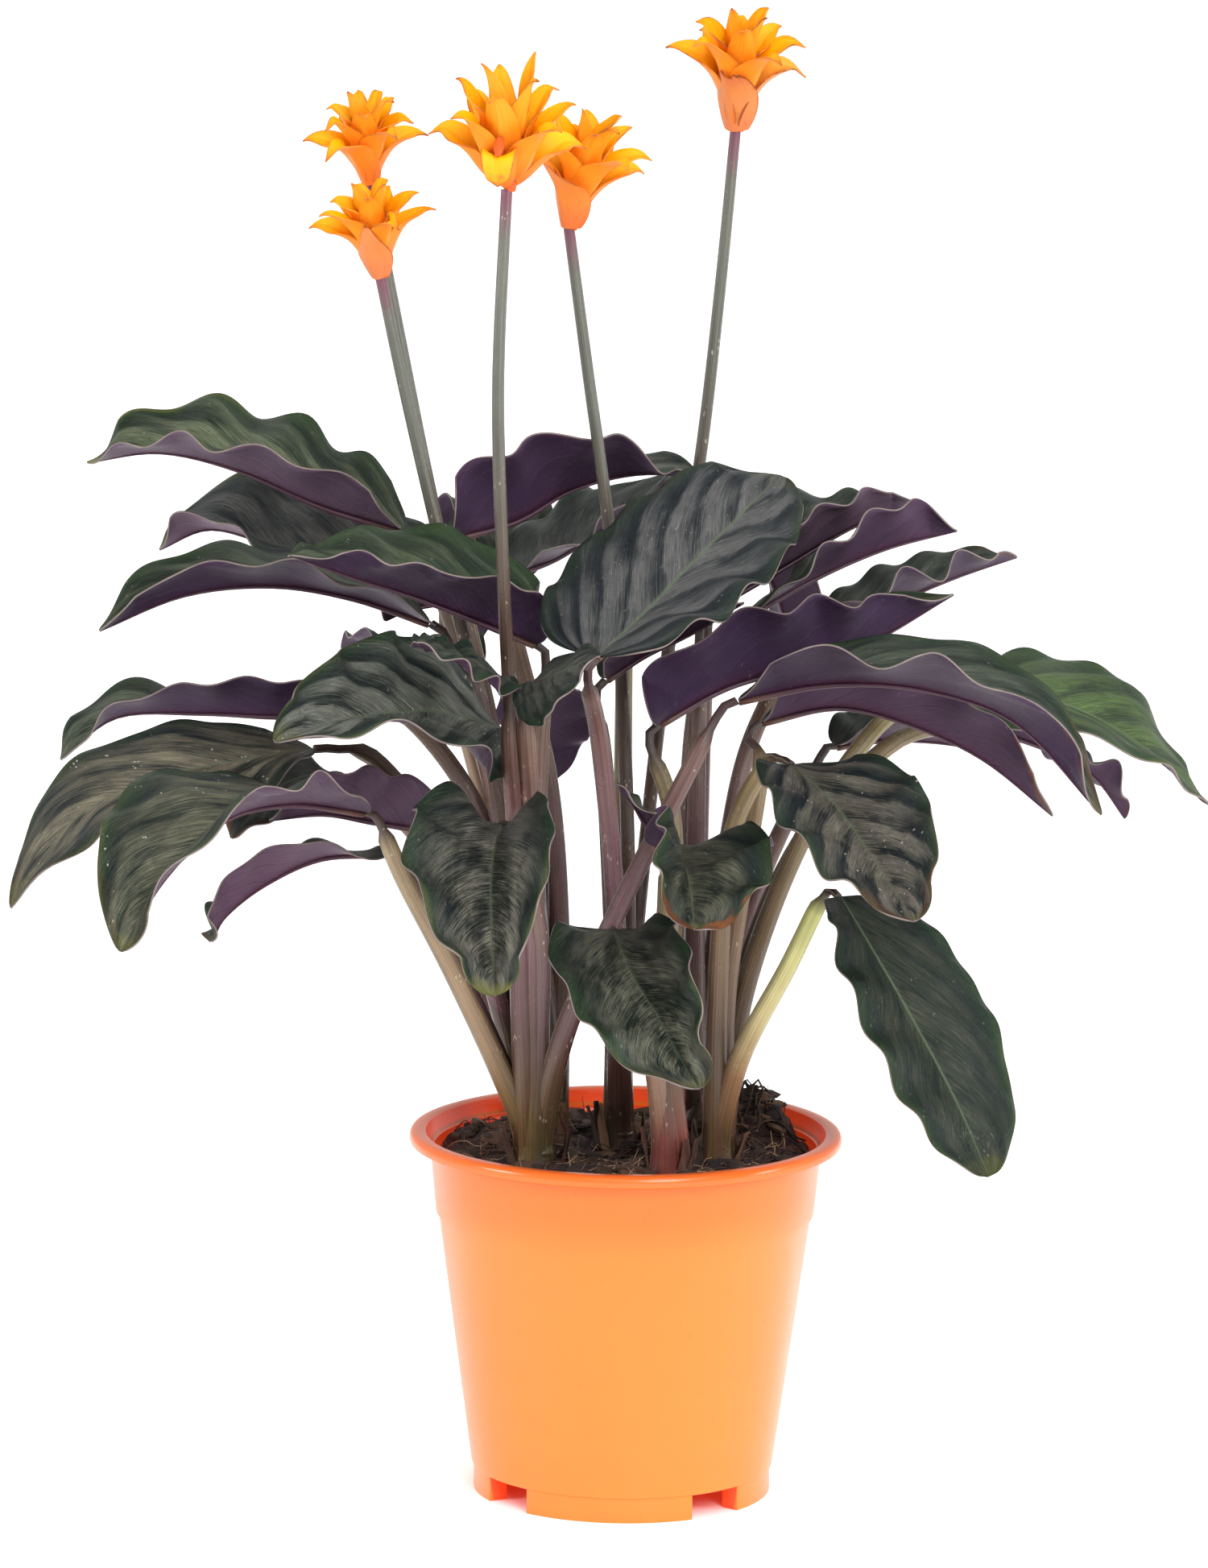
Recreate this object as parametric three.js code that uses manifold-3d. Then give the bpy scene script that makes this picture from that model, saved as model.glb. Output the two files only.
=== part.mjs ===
// Eternal flame calathea in its pot: waved blades on petioles, flower stalks with bract rosettes,
// a soil plug and a footed plastic pot. Millimetres, +Z up, origin on the pot's axis at its feet.
import * as THREE from 'three';
import { mergeVertices } from 'three/addons/utils/BufferGeometryUtils.js';
import Module from 'manifold-3d';

const wasm = await Module();
wasm.setup();

// ---- driving dimensions ----
const GAP = 0.3;                    // clearance between pieces that touch
const POT_HEIGHT = 118.5;
const RIM_RADIUS = 70;
const LIP_HEIGHT = 4.2;
const NECK_RADIUS = 63.4;           // outside of the wall just under the lip
const SHOULDER_HEIGHT = 92;         // where the wall steps in
const SHOULDER_STEP = 1.2;
const SHOULDER_RADIUS = NECK_RADIUS - 1.9;
const BASE_RADIUS = 49;
const WALL = 1.6;
const FLOOR_HEIGHT = 8;             // underside of the pot's floor
const POT_SIDES = 32;
const FOOT_COUNT = 4;
const FOOT_OUTER = 48.2;
const FOOT_INNER = 42;
const FOOT_SPAN = 67;               // degrees of arc covered by one foot
const FOOT_START = -96.7;           // degrees, middle of the front foot
const SOIL_LEVEL = 110;             // soil surface beside the wall
const CROWN_BOTTOM = 96;            // how far down the shoots stand in the soil
const CROWN_TOP = 126;              // where a shoot's sheath opens into its petioles
const BLADE = 0.8;                  // blade thickness
const BLADE_END = 1;                // half width of a blade at its very base and tip
const BLADE_CURL = THREE.MathUtils.degToRad(18); // how far each half bends over from midrib to margin
const TAPER = 0.7;                  // how slowly a blade widens from its two ends
const PETIOLE_FOOT = 4;             // petiole radius at the crown
const PETIOLE_TOP = 2;              // petiole radius at the blade
const STALK_FOOT = 2.6;             // flower stalk radius at the crown
const STALK_TOP = 1.9;              // flower stalk radius under the rosette
const BRACT = 0.9;                  // bract thickness
const BRACT_COUNT = 10;
const GOLDEN = THREE.MathUtils.degToRad(137.5);
const LOWEST_TURN = THREE.MathUtils.degToRad(-112); // where a rosette's lowest bract points
const LOWEST_TIP = 0.46;             // share of a rosette's height at which its lowest tips are

// Shoots: place and radius of each sheath where it leaves the soil.
const SHOOTS = {
  left: { x: -29, y: -14, radius: 8.5 },
  middle: { x: -2, y: 15, radius: 7 },
  front: { x: 14, y: -24, radius: 6.5 },
  right: { x: 29, y: -4, radius: 7 },
  back_left: { x: -23, y: 23, radius: 6.5 },
  back_right: { x: 24, y: 26, radius: 6.5 },
};

// One half of a blade, seen from its base with the upper face up: its width, the degrees it is raised
// at base, middle and tip, how far its base lobe reaches back, and its margin's waves: how many, how
// high and where they start.
const half = (width, raised, lobe, waves) => ({ width, raised, lobe, waves });

// Blades. midrib: points from base to tip. stem: the petiole's points between its crown and the blade.
// rows: how finely the blade is divided along its length. taper: given where a blade has blunter ends.
const LEAVES = [
  { name: 'upper_left_1', shoot: 'back_left', rows: 16,
    midrib: [[-74, 25, 310], [-100, 27, 317], [-127, 30, 328], [-153, 34, 333], [-177, 38, 329]],
    right: half(28, [50, 40, 60], 4, [4.5, 4, 0.4]), left: half(28, [50, 25, 15], 0, [4.5, 2, 0.3]),
    stem: [[-28, 24, 160], [-40, 25, 225], [-60, 26, 285]] },
  { name: 'upper_left_2', shoot: 'back_left', rows: 14,
    midrib: [[-70, 52, 292], [-91, 56, 295], [-115, 60, 299], [-138, 64, 304], [-155, 64, 297]],
    right: half(28, [35, 45, 30], 8, [3.5, 4, 0.9]), left: half(28, [20, 5, 55], 0, [4.5, 2, 0.5]),
    stem: [[-29, 34, 160], [-43, 42, 220], [-60, 50, 275]] },
  { name: 'left_1', shoot: 'left', rows: 16,
    midrib: [[-65, 5, 283], [-89, 3, 291], [-115, 0, 295], [-143, -3, 292], [-170, -8, 281]],
    right: half(25, [25, 20, 80], 4, [4.5, 2, 0.5]), left: half(25, [10, 25, 45], 8, [4, 1.5, 0.4]),
    stem: [[-33, 0, 160], [-42, 6, 220], [-55, 6, 265]] },
  { name: 'left_2', shoot: 'left', rows: 15,
    midrib: [[-31, -10, 279], [-50, -20, 288], [-70, -31, 297], [-90, -43, 305], [-107, -56, 313]],
    right: half(30, [80, 45, 5], 8, [4, 2, 0.7]), left: half(25, [65, 25, 40], 4, [4.5, 1.5, 0.6]),
    stem: [[-30, -10, 175], [-29, -8, 240]] },
  { name: 'top_middle', shoot: 'back_left', rows: 16,
    midrib: [[-60, 40, 305], [-38, 50, 310], [-20, 60, 319], [1, 70, 323], [24, 80, 321]],
    right: half(32, [80, 45, -25], 8, [4.5, 3, 0.5]), left: half(25, [45, 10, 55], 0, [4, 4, 0.5]),
    stem: [[-27, 29, 160], [-40, 34, 220], [-54, 38, 280]] },
  { name: 'behind_middle', shoot: 'back_left', rows: 14,
    midrib: [[-38, 56, 292], [-23, 70, 296], [-4, 86, 307], [20, 106, 319]],
    right: half(25, [30, 30, 35], 8, [2.5, 3, 0.1]), left: half(26, [-5, 10, 10], 8, [3.5, 1.5, 0.9]),
    stem: [[-22, 33, 170], [-26, 36, 225], [-38, 48, 272]] },
  { name: 'middle_big', shoot: 'middle', rows: 16, taper: 0.5,
    midrib: [[-11, -49, 281], [4, -29, 292], [19, -8, 305], [34, 14, 317], [47, 33, 328]],
    right: half(28, [10, -5, -15], 0, [4.5, 3, 0.4]), left: half(35, [30, 15, 45], 7, [4.5, 1, 0.4]),
    stem: [[-3, 2, 160], [-5, -8, 205], [-10, -18, 250]] },
  { name: 'middle_small_right', shoot: 'left', rows: 11,
    midrib: [[-32, -52, 273], [-26, -66, 277], [-19, -78, 282], [-11, -88, 287]],
    right: half(17, [-50, -60, -50], 0, [1.5, 1.5, 0.2]), left: half(13, [45, 35, 40], 0, [2, 1, 0.1]),
    stem: [[-31, -24, 165], [-31, -34, 220], [-33, -44, 255]] },
  { name: 'middle_small_left', shoot: 'left', rows: 12,
    midrib: [[-41, -48, 274], [-49, -60, 278], [-58, -71, 285], [-67, -82, 290]],
    right: half(15, [55, 20, 10], 2, [5, 3, 0.1]), left: half(17, [-10, -20, -15], 0, [4, 2.5, 0.2]),
    stem: [[-34, -25, 165], [-36, -34, 220], [-38, -41, 250]] },
  { name: 'left_facing', shoot: 'left', rows: 16,
    midrib: [[-41, -9, 251], [-60, -28, 259], [-77, -48, 262], [-94, -69, 262], [-110, -88, 259]],
    right: half(25, [70, 75, 70], 0, [4.5, 4, 0.1]), left: half(33, [-70, -10, 5], 4, [3.5, 3, 0.8]),
    stem: [[-33, -15, 160], [-33, -10, 215]] },
  { name: 'left_edge_on', shoot: 'left', rows: 15, taper: 0.5,
    midrib: [[-94, 10, 253], [-114, 12, 251], [-139, 15, 251], [-166, 17, 249], [-184, 16, 235]],
    right: half(18, [12, 12, 70], 3, [4, 3, 0.5]), left: half(16, [55, 45, -20], 4, [5, 1.5, 0.5]),
    stem: [[-35, 3, 160], [-46, 8, 215], [-70, 10, 250]] },
  { name: 'left_big', shoot: 'left', rows: 16,
    midrib: [[-102, -5, 243], [-127, -14, 240], [-152, -26, 236], [-176, -40, 225], [-195, -52, 199]],
    right: half(24, [20, 27, 15], 2, [3, 1.5, 0.3]), left: half(30, [0, -10, 20], 0, [3.5, 4, 0.9]),
    stem: [[-43, 2, 165], [-62, 12, 210], [-82, 6, 238]] },
  { name: 'left_front', shoot: 'left', rows: 16,
    midrib: [[-84, -50, 231], [-106, -66, 236], [-126, -86, 234], [-143, -110, 220], [-156, -121, 199]],
    right: half(34, [-5, 20, 55], 4, [4, 1, 0.3]), left: half(27, [10, 30, 35], 0, [4, 2.5, 0]),
    stem: [[-41, -20, 143], [-57, -29, 178], [-71, -36, 206]] },
  { name: 'left_dark', shoot: 'left', rows: 11,
    midrib: [[-92, 32, 228], [-105, 24, 229], [-117, 14, 224], [-128, 4, 212]],
    right: half(18, [0, 30, 20], 0, [4.5, 4, 0.3]), left: half(15, [-10, -5, -5], 5, [4.5, 2.5, 0.1]),
    stem: [[-46, 10, 160], [-62, 26, 200]] },
  { name: 'left_purple', shoot: 'left', rows: 12,
    midrib: [[-68, 0, 217], [-83, -6, 220], [-98, -12, 223], [-115, -18, 222]],
    right: half(12, [30, 30, 20], 4, [4, 2, 0.3]), left: half(19, [80, 65, 80], 8, [4, 2, 0.3]),
    stem: [[-41, 0, 160], [-56, 1, 198]] },
  { name: 'left_low', shoot: 'left', rows: 13,
    midrib: [[-78, -18, 212], [-98, -28, 212], [-115, -42, 206], [-127, -55, 198], [-131, -62, 191]],
    right: half(15, [5, -10, -30], 6, [4.5, 4, 0.2]), left: half(14, [-35, 65, 70], 0, [5, 1, 0.8]),
    stem: [[-46, -12, 155], [-64, -14, 192]] },
  { name: 'front_left', shoot: 'left', rows: 15,
    midrib: [[-41, -43, 226], [-43, -65, 218], [-43, -91, 208], [-42, -111, 196], [-41, -123, 187]],
    right: half(34, [55, 40, 45], 4, [4, 3, 0.7]), left: half(29, [50, 50, 55], 7, [5, 1, 0.7]),
    stem: [[-28, -22, 155], [-28, -28, 185], [-33, -35, 212]] },
  { name: 'front_small', shoot: 'front', rows: 12,
    midrib: [[12, -49, 221], [17, -67, 217], [19, -86, 211], [20, -100, 204]],
    right: half(23, [55, 65, 10], 0, [4.5, 2, 0.7]), left: half(29, [5, 25, -10], 0, [3.5, 4, 0.5]),
    stem: [[13, -27, 160], [13, -35, 205]] },
  { name: 'front_curl', shoot: 'front', rows: 8,
    midrib: [[10, -37, 218], [5, -44, 227], [1, -49, 234], [-4, -54, 241]],
    right: half(10, [50, 40, 30], 0, [2, 1.5, 0.4]), left: half(8, [10, -10, -20], 0, [2, 1.5, 0.2]),
    stem: [[11, -25, 160], [12, -29, 200]] },
  { name: 'front_middle', shoot: 'front', rows: 15,
    midrib: [[-5, -46, 193], [1, -66, 183], [9, -87, 174], [16, -105, 165], [22, -120, 158]],
    right: half(31, [10, 15, -10], 8, [4, 2, 0.6]), left: half(25, [50, 75, 75], 0, [4.5, 2, 0.5]),
    stem: [[8, -28, 150], [-1, -37, 178]] },
  { name: 'right_facing', shoot: 'right', rows: 16,
    midrib: [[51, -42, 246], [64, -64, 237], [73, -87, 228], [81, -108, 219], [87, -124, 212]],
    right: half(28, [20, 15, 10], 8, [4, 2.5, 0]), left: half(25, [25, 45, 45], 0, [4.5, 1.5, 0.4]),
    stem: [[29, -8, 160], [32, -15, 215], [43, -25, 243]] },
  { name: 'right_hanging', shoot: 'right', rows: 16, taper: 0.5,
    midrib: [[67, -38, 203], [77, -50, 188], [90, -66, 168], [103, -81, 146], [113, -92, 125]],
    right: half(24, [35, 10, -10], 0, [5.5, 2, 0]), left: half(28, [5, 10, 5], 0, [3.5, 0.8, 0.3]),
    stem: [[37, -11, 146], [51, -24, 177]] },
  { name: 'right_long', shoot: 'left', rows: 18,
    midrib: [[34, -25, 264], [63, -28, 270], [93, -32, 269], [122, -36, 259], [149, -40, 231]],
    right: half(31, [45, 25, 50], 0, [3.5, 3, 0.4]), left: half(30, [20, 25, 50], 2, [5, 1.5, 0.4]),
    stem: [[-20, -25, 155], [-3, -29, 197], [18, -28, 240]] },
  { name: 'right_low', shoot: 'right', rows: 15,
    midrib: [[42, 6, 252], [66, 6, 257], [89, 5, 252], [113, 4, 241], [136, 2, 223]],
    right: half(24, [55, 55, 50], 0, [4.5, 2.5, 0.8]), left: half(14, [20, 15, 20], 2, [3.5, 2.5, 0]),
    stem: [[32, -4, 165], [39, -2, 215], [42, 0, 240]] },
  { name: 'right_green', shoot: 'right', rows: 15,
    midrib: [[104, 40, 255], [127, 45, 256], [152, 50, 247], [173, 55, 233], [191, 58, 217]],
    right: half(26, [-45, -10, -10], 8, [3.5, 1.5, 0.7]), left: half(36, [-40, 25, 0], 8, [3.5, 1.5, 0.1]),
    stem: [[38, 2, 165], [56, 14, 212], [80, 27, 247]] },
  { name: 'right_tip', shoot: 'right', rows: 10,
    midrib: [[118, 54, 243], [137, 61, 235], [153, 67, 225], [164, 72, 210]],
    right: half(12, [40, 25, 45], 4, [3.5, 3.5, 0.9]), left: half(16, [-5, 5, 40], 8, [3.5, 4, 0]),
    stem: [[37, 9, 165], [56, 22, 210], [86, 38, 240]] },
  { name: 'right_purple', shoot: 'front', rows: 16,
    midrib: [[9, 5, 251], [30, 10, 262], [53, 16, 268], [77, 24, 275], [104, 32, 290]],
    right: half(27, [75, 60, 65], 10, [4.5, 3.5, 0.6]), left: half(28, [15, 20, 50], 0, [4.5, 3, 0.2]),
    stem: [[15, -14, 165], [14, -1, 220]] },
  { name: 'upper_right_1', shoot: 'back_right', rows: 13,
    midrib: [[26, 52, 282], [49, 60, 294], [71, 68, 306], [93, 76, 314]],
    right: half(22, [80, 45, 65], 8, [4.5, 2, 0.8]), left: half(25, [60, 45, -5], 8, [4.5, 4, 0.7]),
    stem: [[22, 29, 170], [22, 40, 240]] },
  { name: 'upper_right_2', shoot: 'back_right', rows: 13,
    midrib: [[29, 43, 275], [55, 49, 290], [81, 54, 301], [106, 60, 307]],
    right: half(29, [15, 30, 80], 0, [4.5, 1.5, 0.4]), left: half(25, [-25, 5, 25], 0, [3.5, 2, 0.7]),
    stem: [[20, 34, 175], [20, 42, 235]] },
  { name: 'upper_right_3', shoot: 'back_right', rows: 12,
    midrib: [[60, 60, 271], [84, 68, 281], [106, 76, 289], [127, 84, 295]],
    right: half(19, [45, 30, 45], 0, [3.5, 4, 0.9]), left: half(18, [35, 25, 40], 0, [4.5, 1.5, 0.4]),
    stem: [[28, 34, 170], [36, 48, 225], [46, 56, 252]] },
  { name: 'low_right', shoot: 'back_right', rows: 10,
    midrib: [[68, 56, 236], [84, 63, 237], [100, 71, 235], [115, 76, 232]],
    right: half(18, [35, 30, 20], 3, [4, 2, 0.3]), left: half(18, [35, 30, 20], 3, [4, 2, 0.8]),
    stem: [[32, 33, 155], [44, 44, 195]] },
  { name: 'low_left_back', shoot: 'back_left', rows: 8,
    midrib: [[-59, 63, 282], [-67, 70, 279], [-74, 76, 276], [-81, 80, 272]],
    right: half(14, [35, 30, 20], 3, [4, 2, 0.3]), left: half(14, [35, 30, 20], 3, [4, 2, 0.8]),
    stem: [[-30, 38, 165], [-44, 50, 225]] },
  { name: 'hanging_back', shoot: 'back_left', rows: 10,
    midrib: [[-30, 60, 252], [-30, 68, 240], [-29, 75, 229], [-27, 79, 218]],
    right: half(18, [35, 30, 20], 3, [4, 2, 0.3]), left: half(18, [35, 30, 20], 3, [4, 2, 0.8]),
    stem: [[-22, 44, 160], [-26, 51, 200], [-29, 54, 237]] },
  { name: 'back_1', shoot: 'back_left', rows: 11,
    midrib: [[-41, 92, 284], [-44, 103, 299], [-48, 112, 297], [-51, 118, 281], [-53, 120, 257]],
    right: half(20, [20, 25, 20], 3, [4, 2, 0.3]), left: half(20, [25, 30, 20], 3, [3.5, 2, 0.8]),
    stem: [[-25, 50, 160], [-33, 88, 220]] },
  { name: 'back_2', shoot: 'middle', rows: 11,
    midrib: [[-2, 98, 286], [-2, 108, 302], [0, 115, 299], [2, 119, 282], [3, 121, 256]],
    right: half(21, [25, 30, 20], 3, [3.5, 2, 0.1]), left: half(20, [25, 30, 20], 3, [4, 2, 0.6]),
    stem: [[-2, 44, 165], [-2, 84, 230]] },
  { name: 'back_3', shoot: 'back_right', rows: 11,
    midrib: [[27, 94, 274], [35, 105, 290], [43, 112, 288], [51, 116, 270], [56, 117, 244]],
    right: half(20, [30, 30, 20], 3, [3.5, 2, 0.5]), left: half(20, [30, 25, 20], 3, [3.5, 2, 0.9]),
    stem: [[23, 54, 160], [24, 88, 220]] },
  { name: 'middle_low', shoot: 'middle', rows: 12,
    midrib: [[-8, 8, 265], [4, 12, 272], [20, 17, 279], [36, 22, 288]],
    right: half(18, [50, 40, 30], 5, [3, 2.5, 0.3]), left: half(16, [10, 10, 20], 3, [3, 2.5, 0.8]),
    stem: [[-4, 8, 170], [-8, 4, 235]] },
  { name: 'back_5', shoot: 'back_left', rows: 11,
    midrib: [[-59, 56, 252], [-69, 78, 256], [-79, 99, 254], [-86, 114, 247]],
    right: half(24, [35, 30, 20], 3, [4, 2, 0.3]), left: half(24, [35, 30, 20], 3, [4, 2, 0.8]),
    stem: [[-31, 38, 160], [-47, 54, 215]] },
];

// Flowers. base: foot of the rosette on its stalk; lean: degrees it leans to +X; lowest: share of the
// height at which the lowest tips are, if not LOWEST_TIP; stem as for a blade.
const FLOWERS = [
  { name: 'flower_back_left', shoot: 'left', width: 42, height: 32, lean: -6, base: [-85, 12, 422],
    stem: [[-33, 2, 180], [-48, 6, 255], [-63, 9, 315], [-75, 12, 372]] },
  { name: 'flower_front_left', shoot: 'left', width: 42, height: 33, lean: -10, base: [-81, -8, 395],
    stem: [[-36, -6, 190], [-50, 1, 262], [-64, 0, 319], [-74, -4, 362]] },
  { name: 'flower_left', shoot: 'left', width: 53, height: 43, lean: 0, base: [-41, -38, 426], lowest: 0.3,
    stem: [[-34, -20, 185], [-38, -36, 256], [-41, -46, 310], [-43, -45, 366]] },
  { name: 'flower_right', shoot: 'middle', width: 50, height: 41, lean: 13, base: [-22, 26, 408],
    stem: [[0, 17, 190], [-3, 28, 260], [-8, 31, 312], [-15, 30, 360]] },
  { name: 'flower_tall', shoot: 'middle', width: 52, height: 42, lean: 2, base: [32, 80, 435],
    stem: [[4, 38, 190], [12, 74, 262], [22, 90, 325], [28, 86, 385]] },
];

// ---- small helpers ----
const vec = (p) => new THREE.Vector3(...p);
const curveThrough = (points) => new THREE.CatmullRomCurve3(points, false, 'catmullrom', 0.5);

// Value between base, middle and tip along a blade, on one smooth curve.
function along([base, middle, tip], u) {
  return base * (1 - u) * (1 - 2 * u) + 4 * middle * u * (1 - u) + tip * u * (2 * u - 1);
}

function geometryFrom(vertices, index) {
  const geometry = new THREE.BufferGeometry();
  const flat = vertices.flatMap((v) => [v.x, v.y, v.z]);
  geometry.setAttribute('position', new THREE.Float32BufferAttribute(flat, 3));
  geometry.setIndex(index);
  return geometry;
}

// Closed sheet of even thickness round a grid of points: grid[i][j], the upper face towards
// (step in j) x (step in i). Both faces are split along the same diagonals.
function sheet(grid, thickness) {
  const rows = grid.length;
  const columns = grid[0].length;
  const upper = [];
  const lower = [];
  for (let i = 0; i < rows; i += 1) {
    for (let j = 0; j < columns; j += 1) {
      const down = grid[Math.min(i + 1, rows - 1)][j].clone().sub(grid[Math.max(i - 1, 0)][j]);
      const across = grid[i][Math.min(j + 1, columns - 1)].clone().sub(grid[i][Math.max(j - 1, 0)]);
      const normal = across.cross(down).normalize().multiplyScalar(thickness / 2);
      upper.push(grid[i][j].clone().add(normal));
      lower.push(grid[i][j].clone().sub(normal));
    }
  }
  const below = rows * columns;
  const at = (i, j) => i * columns + j;
  const index = [];
  for (let i = 0; i + 1 < rows; i += 1) {
    for (let j = 0; j + 1 < columns; j += 1) {
      const [a, b, c, d] = [at(i, j), at(i, j + 1), at(i + 1, j + 1), at(i + 1, j)];
      index.push(a, b, c, a, c, d);
      index.push(below + a, below + c, below + b, below + a, below + d, below + c);
    }
  }
  const rim = [];
  for (let j = 0; j < columns - 1; j += 1) rim.push(at(0, j));
  for (let i = 0; i < rows - 1; i += 1) rim.push(at(i, columns - 1));
  for (let j = columns - 1; j > 0; j -= 1) rim.push(at(rows - 1, j));
  for (let i = rows - 1; i > 0; i -= 1) rim.push(at(i, 0));
  rim.forEach((a, k) => {
    const b = rim[(k + 1) % rim.length];
    index.push(a, below + b, b, a, below + a, below + b);
  });
  return geometryFrom([...upper, ...lower], index);
}

// Tube whose radius runs from the first to the last value given, with flat ends.
function stalk(points, radii, sides, steps) {
  const curve = curveThrough(points);
  const frames = curve.computeFrenetFrames(steps, false);
  const vertices = [];
  for (let i = 0; i <= steps; i += 1) {
    const centre = curve.getPointAt(i / steps);
    const radius = THREE.MathUtils.lerp(radii[0], radii[1], i / steps);
    for (let k = 0; k < sides; k += 1) {
      const turn = (k / sides) * Math.PI * 2;
      const out = frames.normals[i].clone().multiplyScalar(Math.cos(turn) * radius)
        .addScaledVector(frames.binormals[i], Math.sin(turn) * radius);
      vertices.push(centre.clone().add(out));
    }
  }
  const index = [];
  for (let i = 0; i < steps; i += 1) {
    for (let k = 0; k < sides; k += 1) {
      const next = (k + 1) % sides;
      const [a, b, c, d] = [i * sides + k, i * sides + next, (i + 1) * sides + next, (i + 1) * sides + k];
      index.push(a, b, c, a, c, d);
    }
  }
  for (let k = 1; k + 1 < sides; k += 1) {
    index.push(0, k + 1, k);
    index.push(steps * sides, steps * sides + k, steps * sides + k + 1);
  }
  return geometryFrom(vertices, index);
}

// ---- joining and cutting ----
function solid(geometry) {
  const plain = geometry.clone();
  plain.deleteAttribute('normal');
  plain.deleteAttribute('uv');
  const merged = mergeVertices(plain, 1e-4);
  return new wasm.Manifold(new wasm.Mesh({
    numProp: 3,
    vertProperties: new Float32Array(merged.attributes.position.array),
    triVerts: new Uint32Array(merged.index.array),
  }));
}

function fromSolid(manifold) {
  const mesh = manifold.getMesh();
  const geometry = new THREE.BufferGeometry();
  geometry.setAttribute('position', new THREE.Float32BufferAttribute(mesh.vertProperties, 3));
  geometry.setIndex([...mesh.triVerts]);
  return geometry;
}

const joined = (geometries) => fromSolid(geometries.map(solid).reduce((all, one) => all.add(one)));

// ---- blades ----
const outline = (u, taper) => Math.sin(Math.PI * u ** 0.8) ** taper;

// Frame of a blade at u: point, direction of growth, rightwards and upwards.
function bladeFrame(midrib, u) {
  const point = midrib.getPoint(u);
  const step = 1e-3;
  const growth = midrib.getPoint(Math.min(u + step, 1)).sub(midrib.getPoint(Math.max(u - step, 0)));
  growth.normalize();
  const heading = midrib.getPoint(1).sub(midrib.getPoint(0)).setZ(0).normalize();
  const right = new THREE.Vector3(heading.y, -heading.x, 0);
  right.addScaledVector(growth, -right.dot(growth)).normalize();
  return { point, growth, right, up: right.clone().cross(growth) };
}

// Point of a blade: side +1 is its right half, reach 0 is the midrib and 1 the margin.
function bladePoint(midrib, half, taper, side, u, reach) {
  const { point, growth, right, up } = bladeFrame(midrib, u);
  const [waves, height, start] = half.waves;
  const width = half.width * outline(u, taper) + BLADE_END;
  const flat = 0.15 + 0.85 * Math.min(1, u / 0.12, (1 - u) / 0.12);
  const raised = THREE.MathUtils.degToRad(along(half.raised, u)) * flat;
  const first = raised + BLADE_CURL / 2;
  const last = raised + BLADE_CURL * (0.5 - reach);
  const sideways = (width * (Math.sin(first) - Math.sin(last))) / BLADE_CURL;
  const upwards = (width * (Math.cos(last) - Math.cos(first))) / BLADE_CURL;
  const wave = height * reach ** 1.5 * Math.sin(2 * Math.PI * (waves * u + start))
    * Math.sin(Math.PI * u) ** 0.5;
  const back = half.lobe * reach ** 1.2 * 23 * u * (1 - u) ** 8;
  return point
    .addScaledVector(right, side * (sideways - wave * Math.sin(last)))
    .addScaledVector(up, upwards + wave * Math.cos(last))
    .addScaledVector(growth, -back);
}

function blade({ midrib, right, left, rows, taper = TAPER }) {
  const curve = curveThrough(midrib.map(vec));
  const grid = [];
  for (let i = 0; i <= rows; i += 1) {
    const u = i / rows;
    const [leftMargin, rightMargin] = [[left, -1], [right, 1]].map(
      ([half, side]) => bladePoint(curve, half, taper, side, u, 1));
    grid.push([leftMargin, curve.getPoint(u), rightMargin]);
  }
  return sheet(grid, BLADE);
}

// ---- shoots: sheath, petioles and flower stalks grown together ----
// A petiole's last stretch points halfway between the way it comes up and the way its blade grows.
function petiole(shoot, leaf) {
  const base = vec(leaf.midrib[0]);
  const arrival = base.clone().sub(vec(leaf.stem.at(-1))).normalize();
  const heading = bladeFrame(curveThrough(leaf.midrib.map(vec)), 0).growth.add(arrival).normalize();
  const end = base.clone().addScaledVector(heading, -2 * GAP);
  const before = base.clone().addScaledVector(heading, -7);
  return stalk([crownPoint(shoot), ...leaf.stem.map(vec), before, end],
    [PETIOLE_FOOT, PETIOLE_TOP], 5, 6);
}

const crownPoint = ({ x, y }) => new THREE.Vector3(x, y, SOIL_LEVEL + 6);

const leanAxis = ({ lean }) => {
  const angle = THREE.MathUtils.degToRad(lean);
  return new THREE.Vector3(Math.sin(angle), 0, Math.cos(angle));
};

function flowerStalk(shoot, flower) {
  const axis = leanAxis(flower);
  const end = vec(flower.base).addScaledVector(axis, -3 * GAP);
  return stalk([crownPoint(shoot), ...flower.stem.map(vec), end],
    [STALK_FOOT, STALK_TOP], 5, 8);
}

function crown({ x, y, radius }) {
  const straight = SOIL_LEVEL + 8 - CROWN_BOTTOM;
  const profile = [
    new THREE.Vector2(0, 0),
    new THREE.Vector2(radius, 0),
    new THREE.Vector2(radius, straight),
    new THREE.Vector2(radius * 0.8, CROWN_TOP - CROWN_BOTTOM),
    new THREE.Vector2(0, CROWN_TOP + 4 - CROWN_BOTTOM),
  ];
  return new THREE.LatheGeometry(profile, 12).rotateX(Math.PI / 2).translate(x, y, CROWN_BOTTOM);
}

function shootBody(name) {
  const shoot = SHOOTS[name];
  const here = ({ shoot: its }) => its === name;
  const petioles = LEAVES.filter(here).map((leaf) => petiole(shoot, leaf));
  const stalks = FLOWERS.filter(here).map((flower) => flowerStalk(shoot, flower));
  return joined([crown(shoot), ...petioles, ...stalks]);
}

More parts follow.
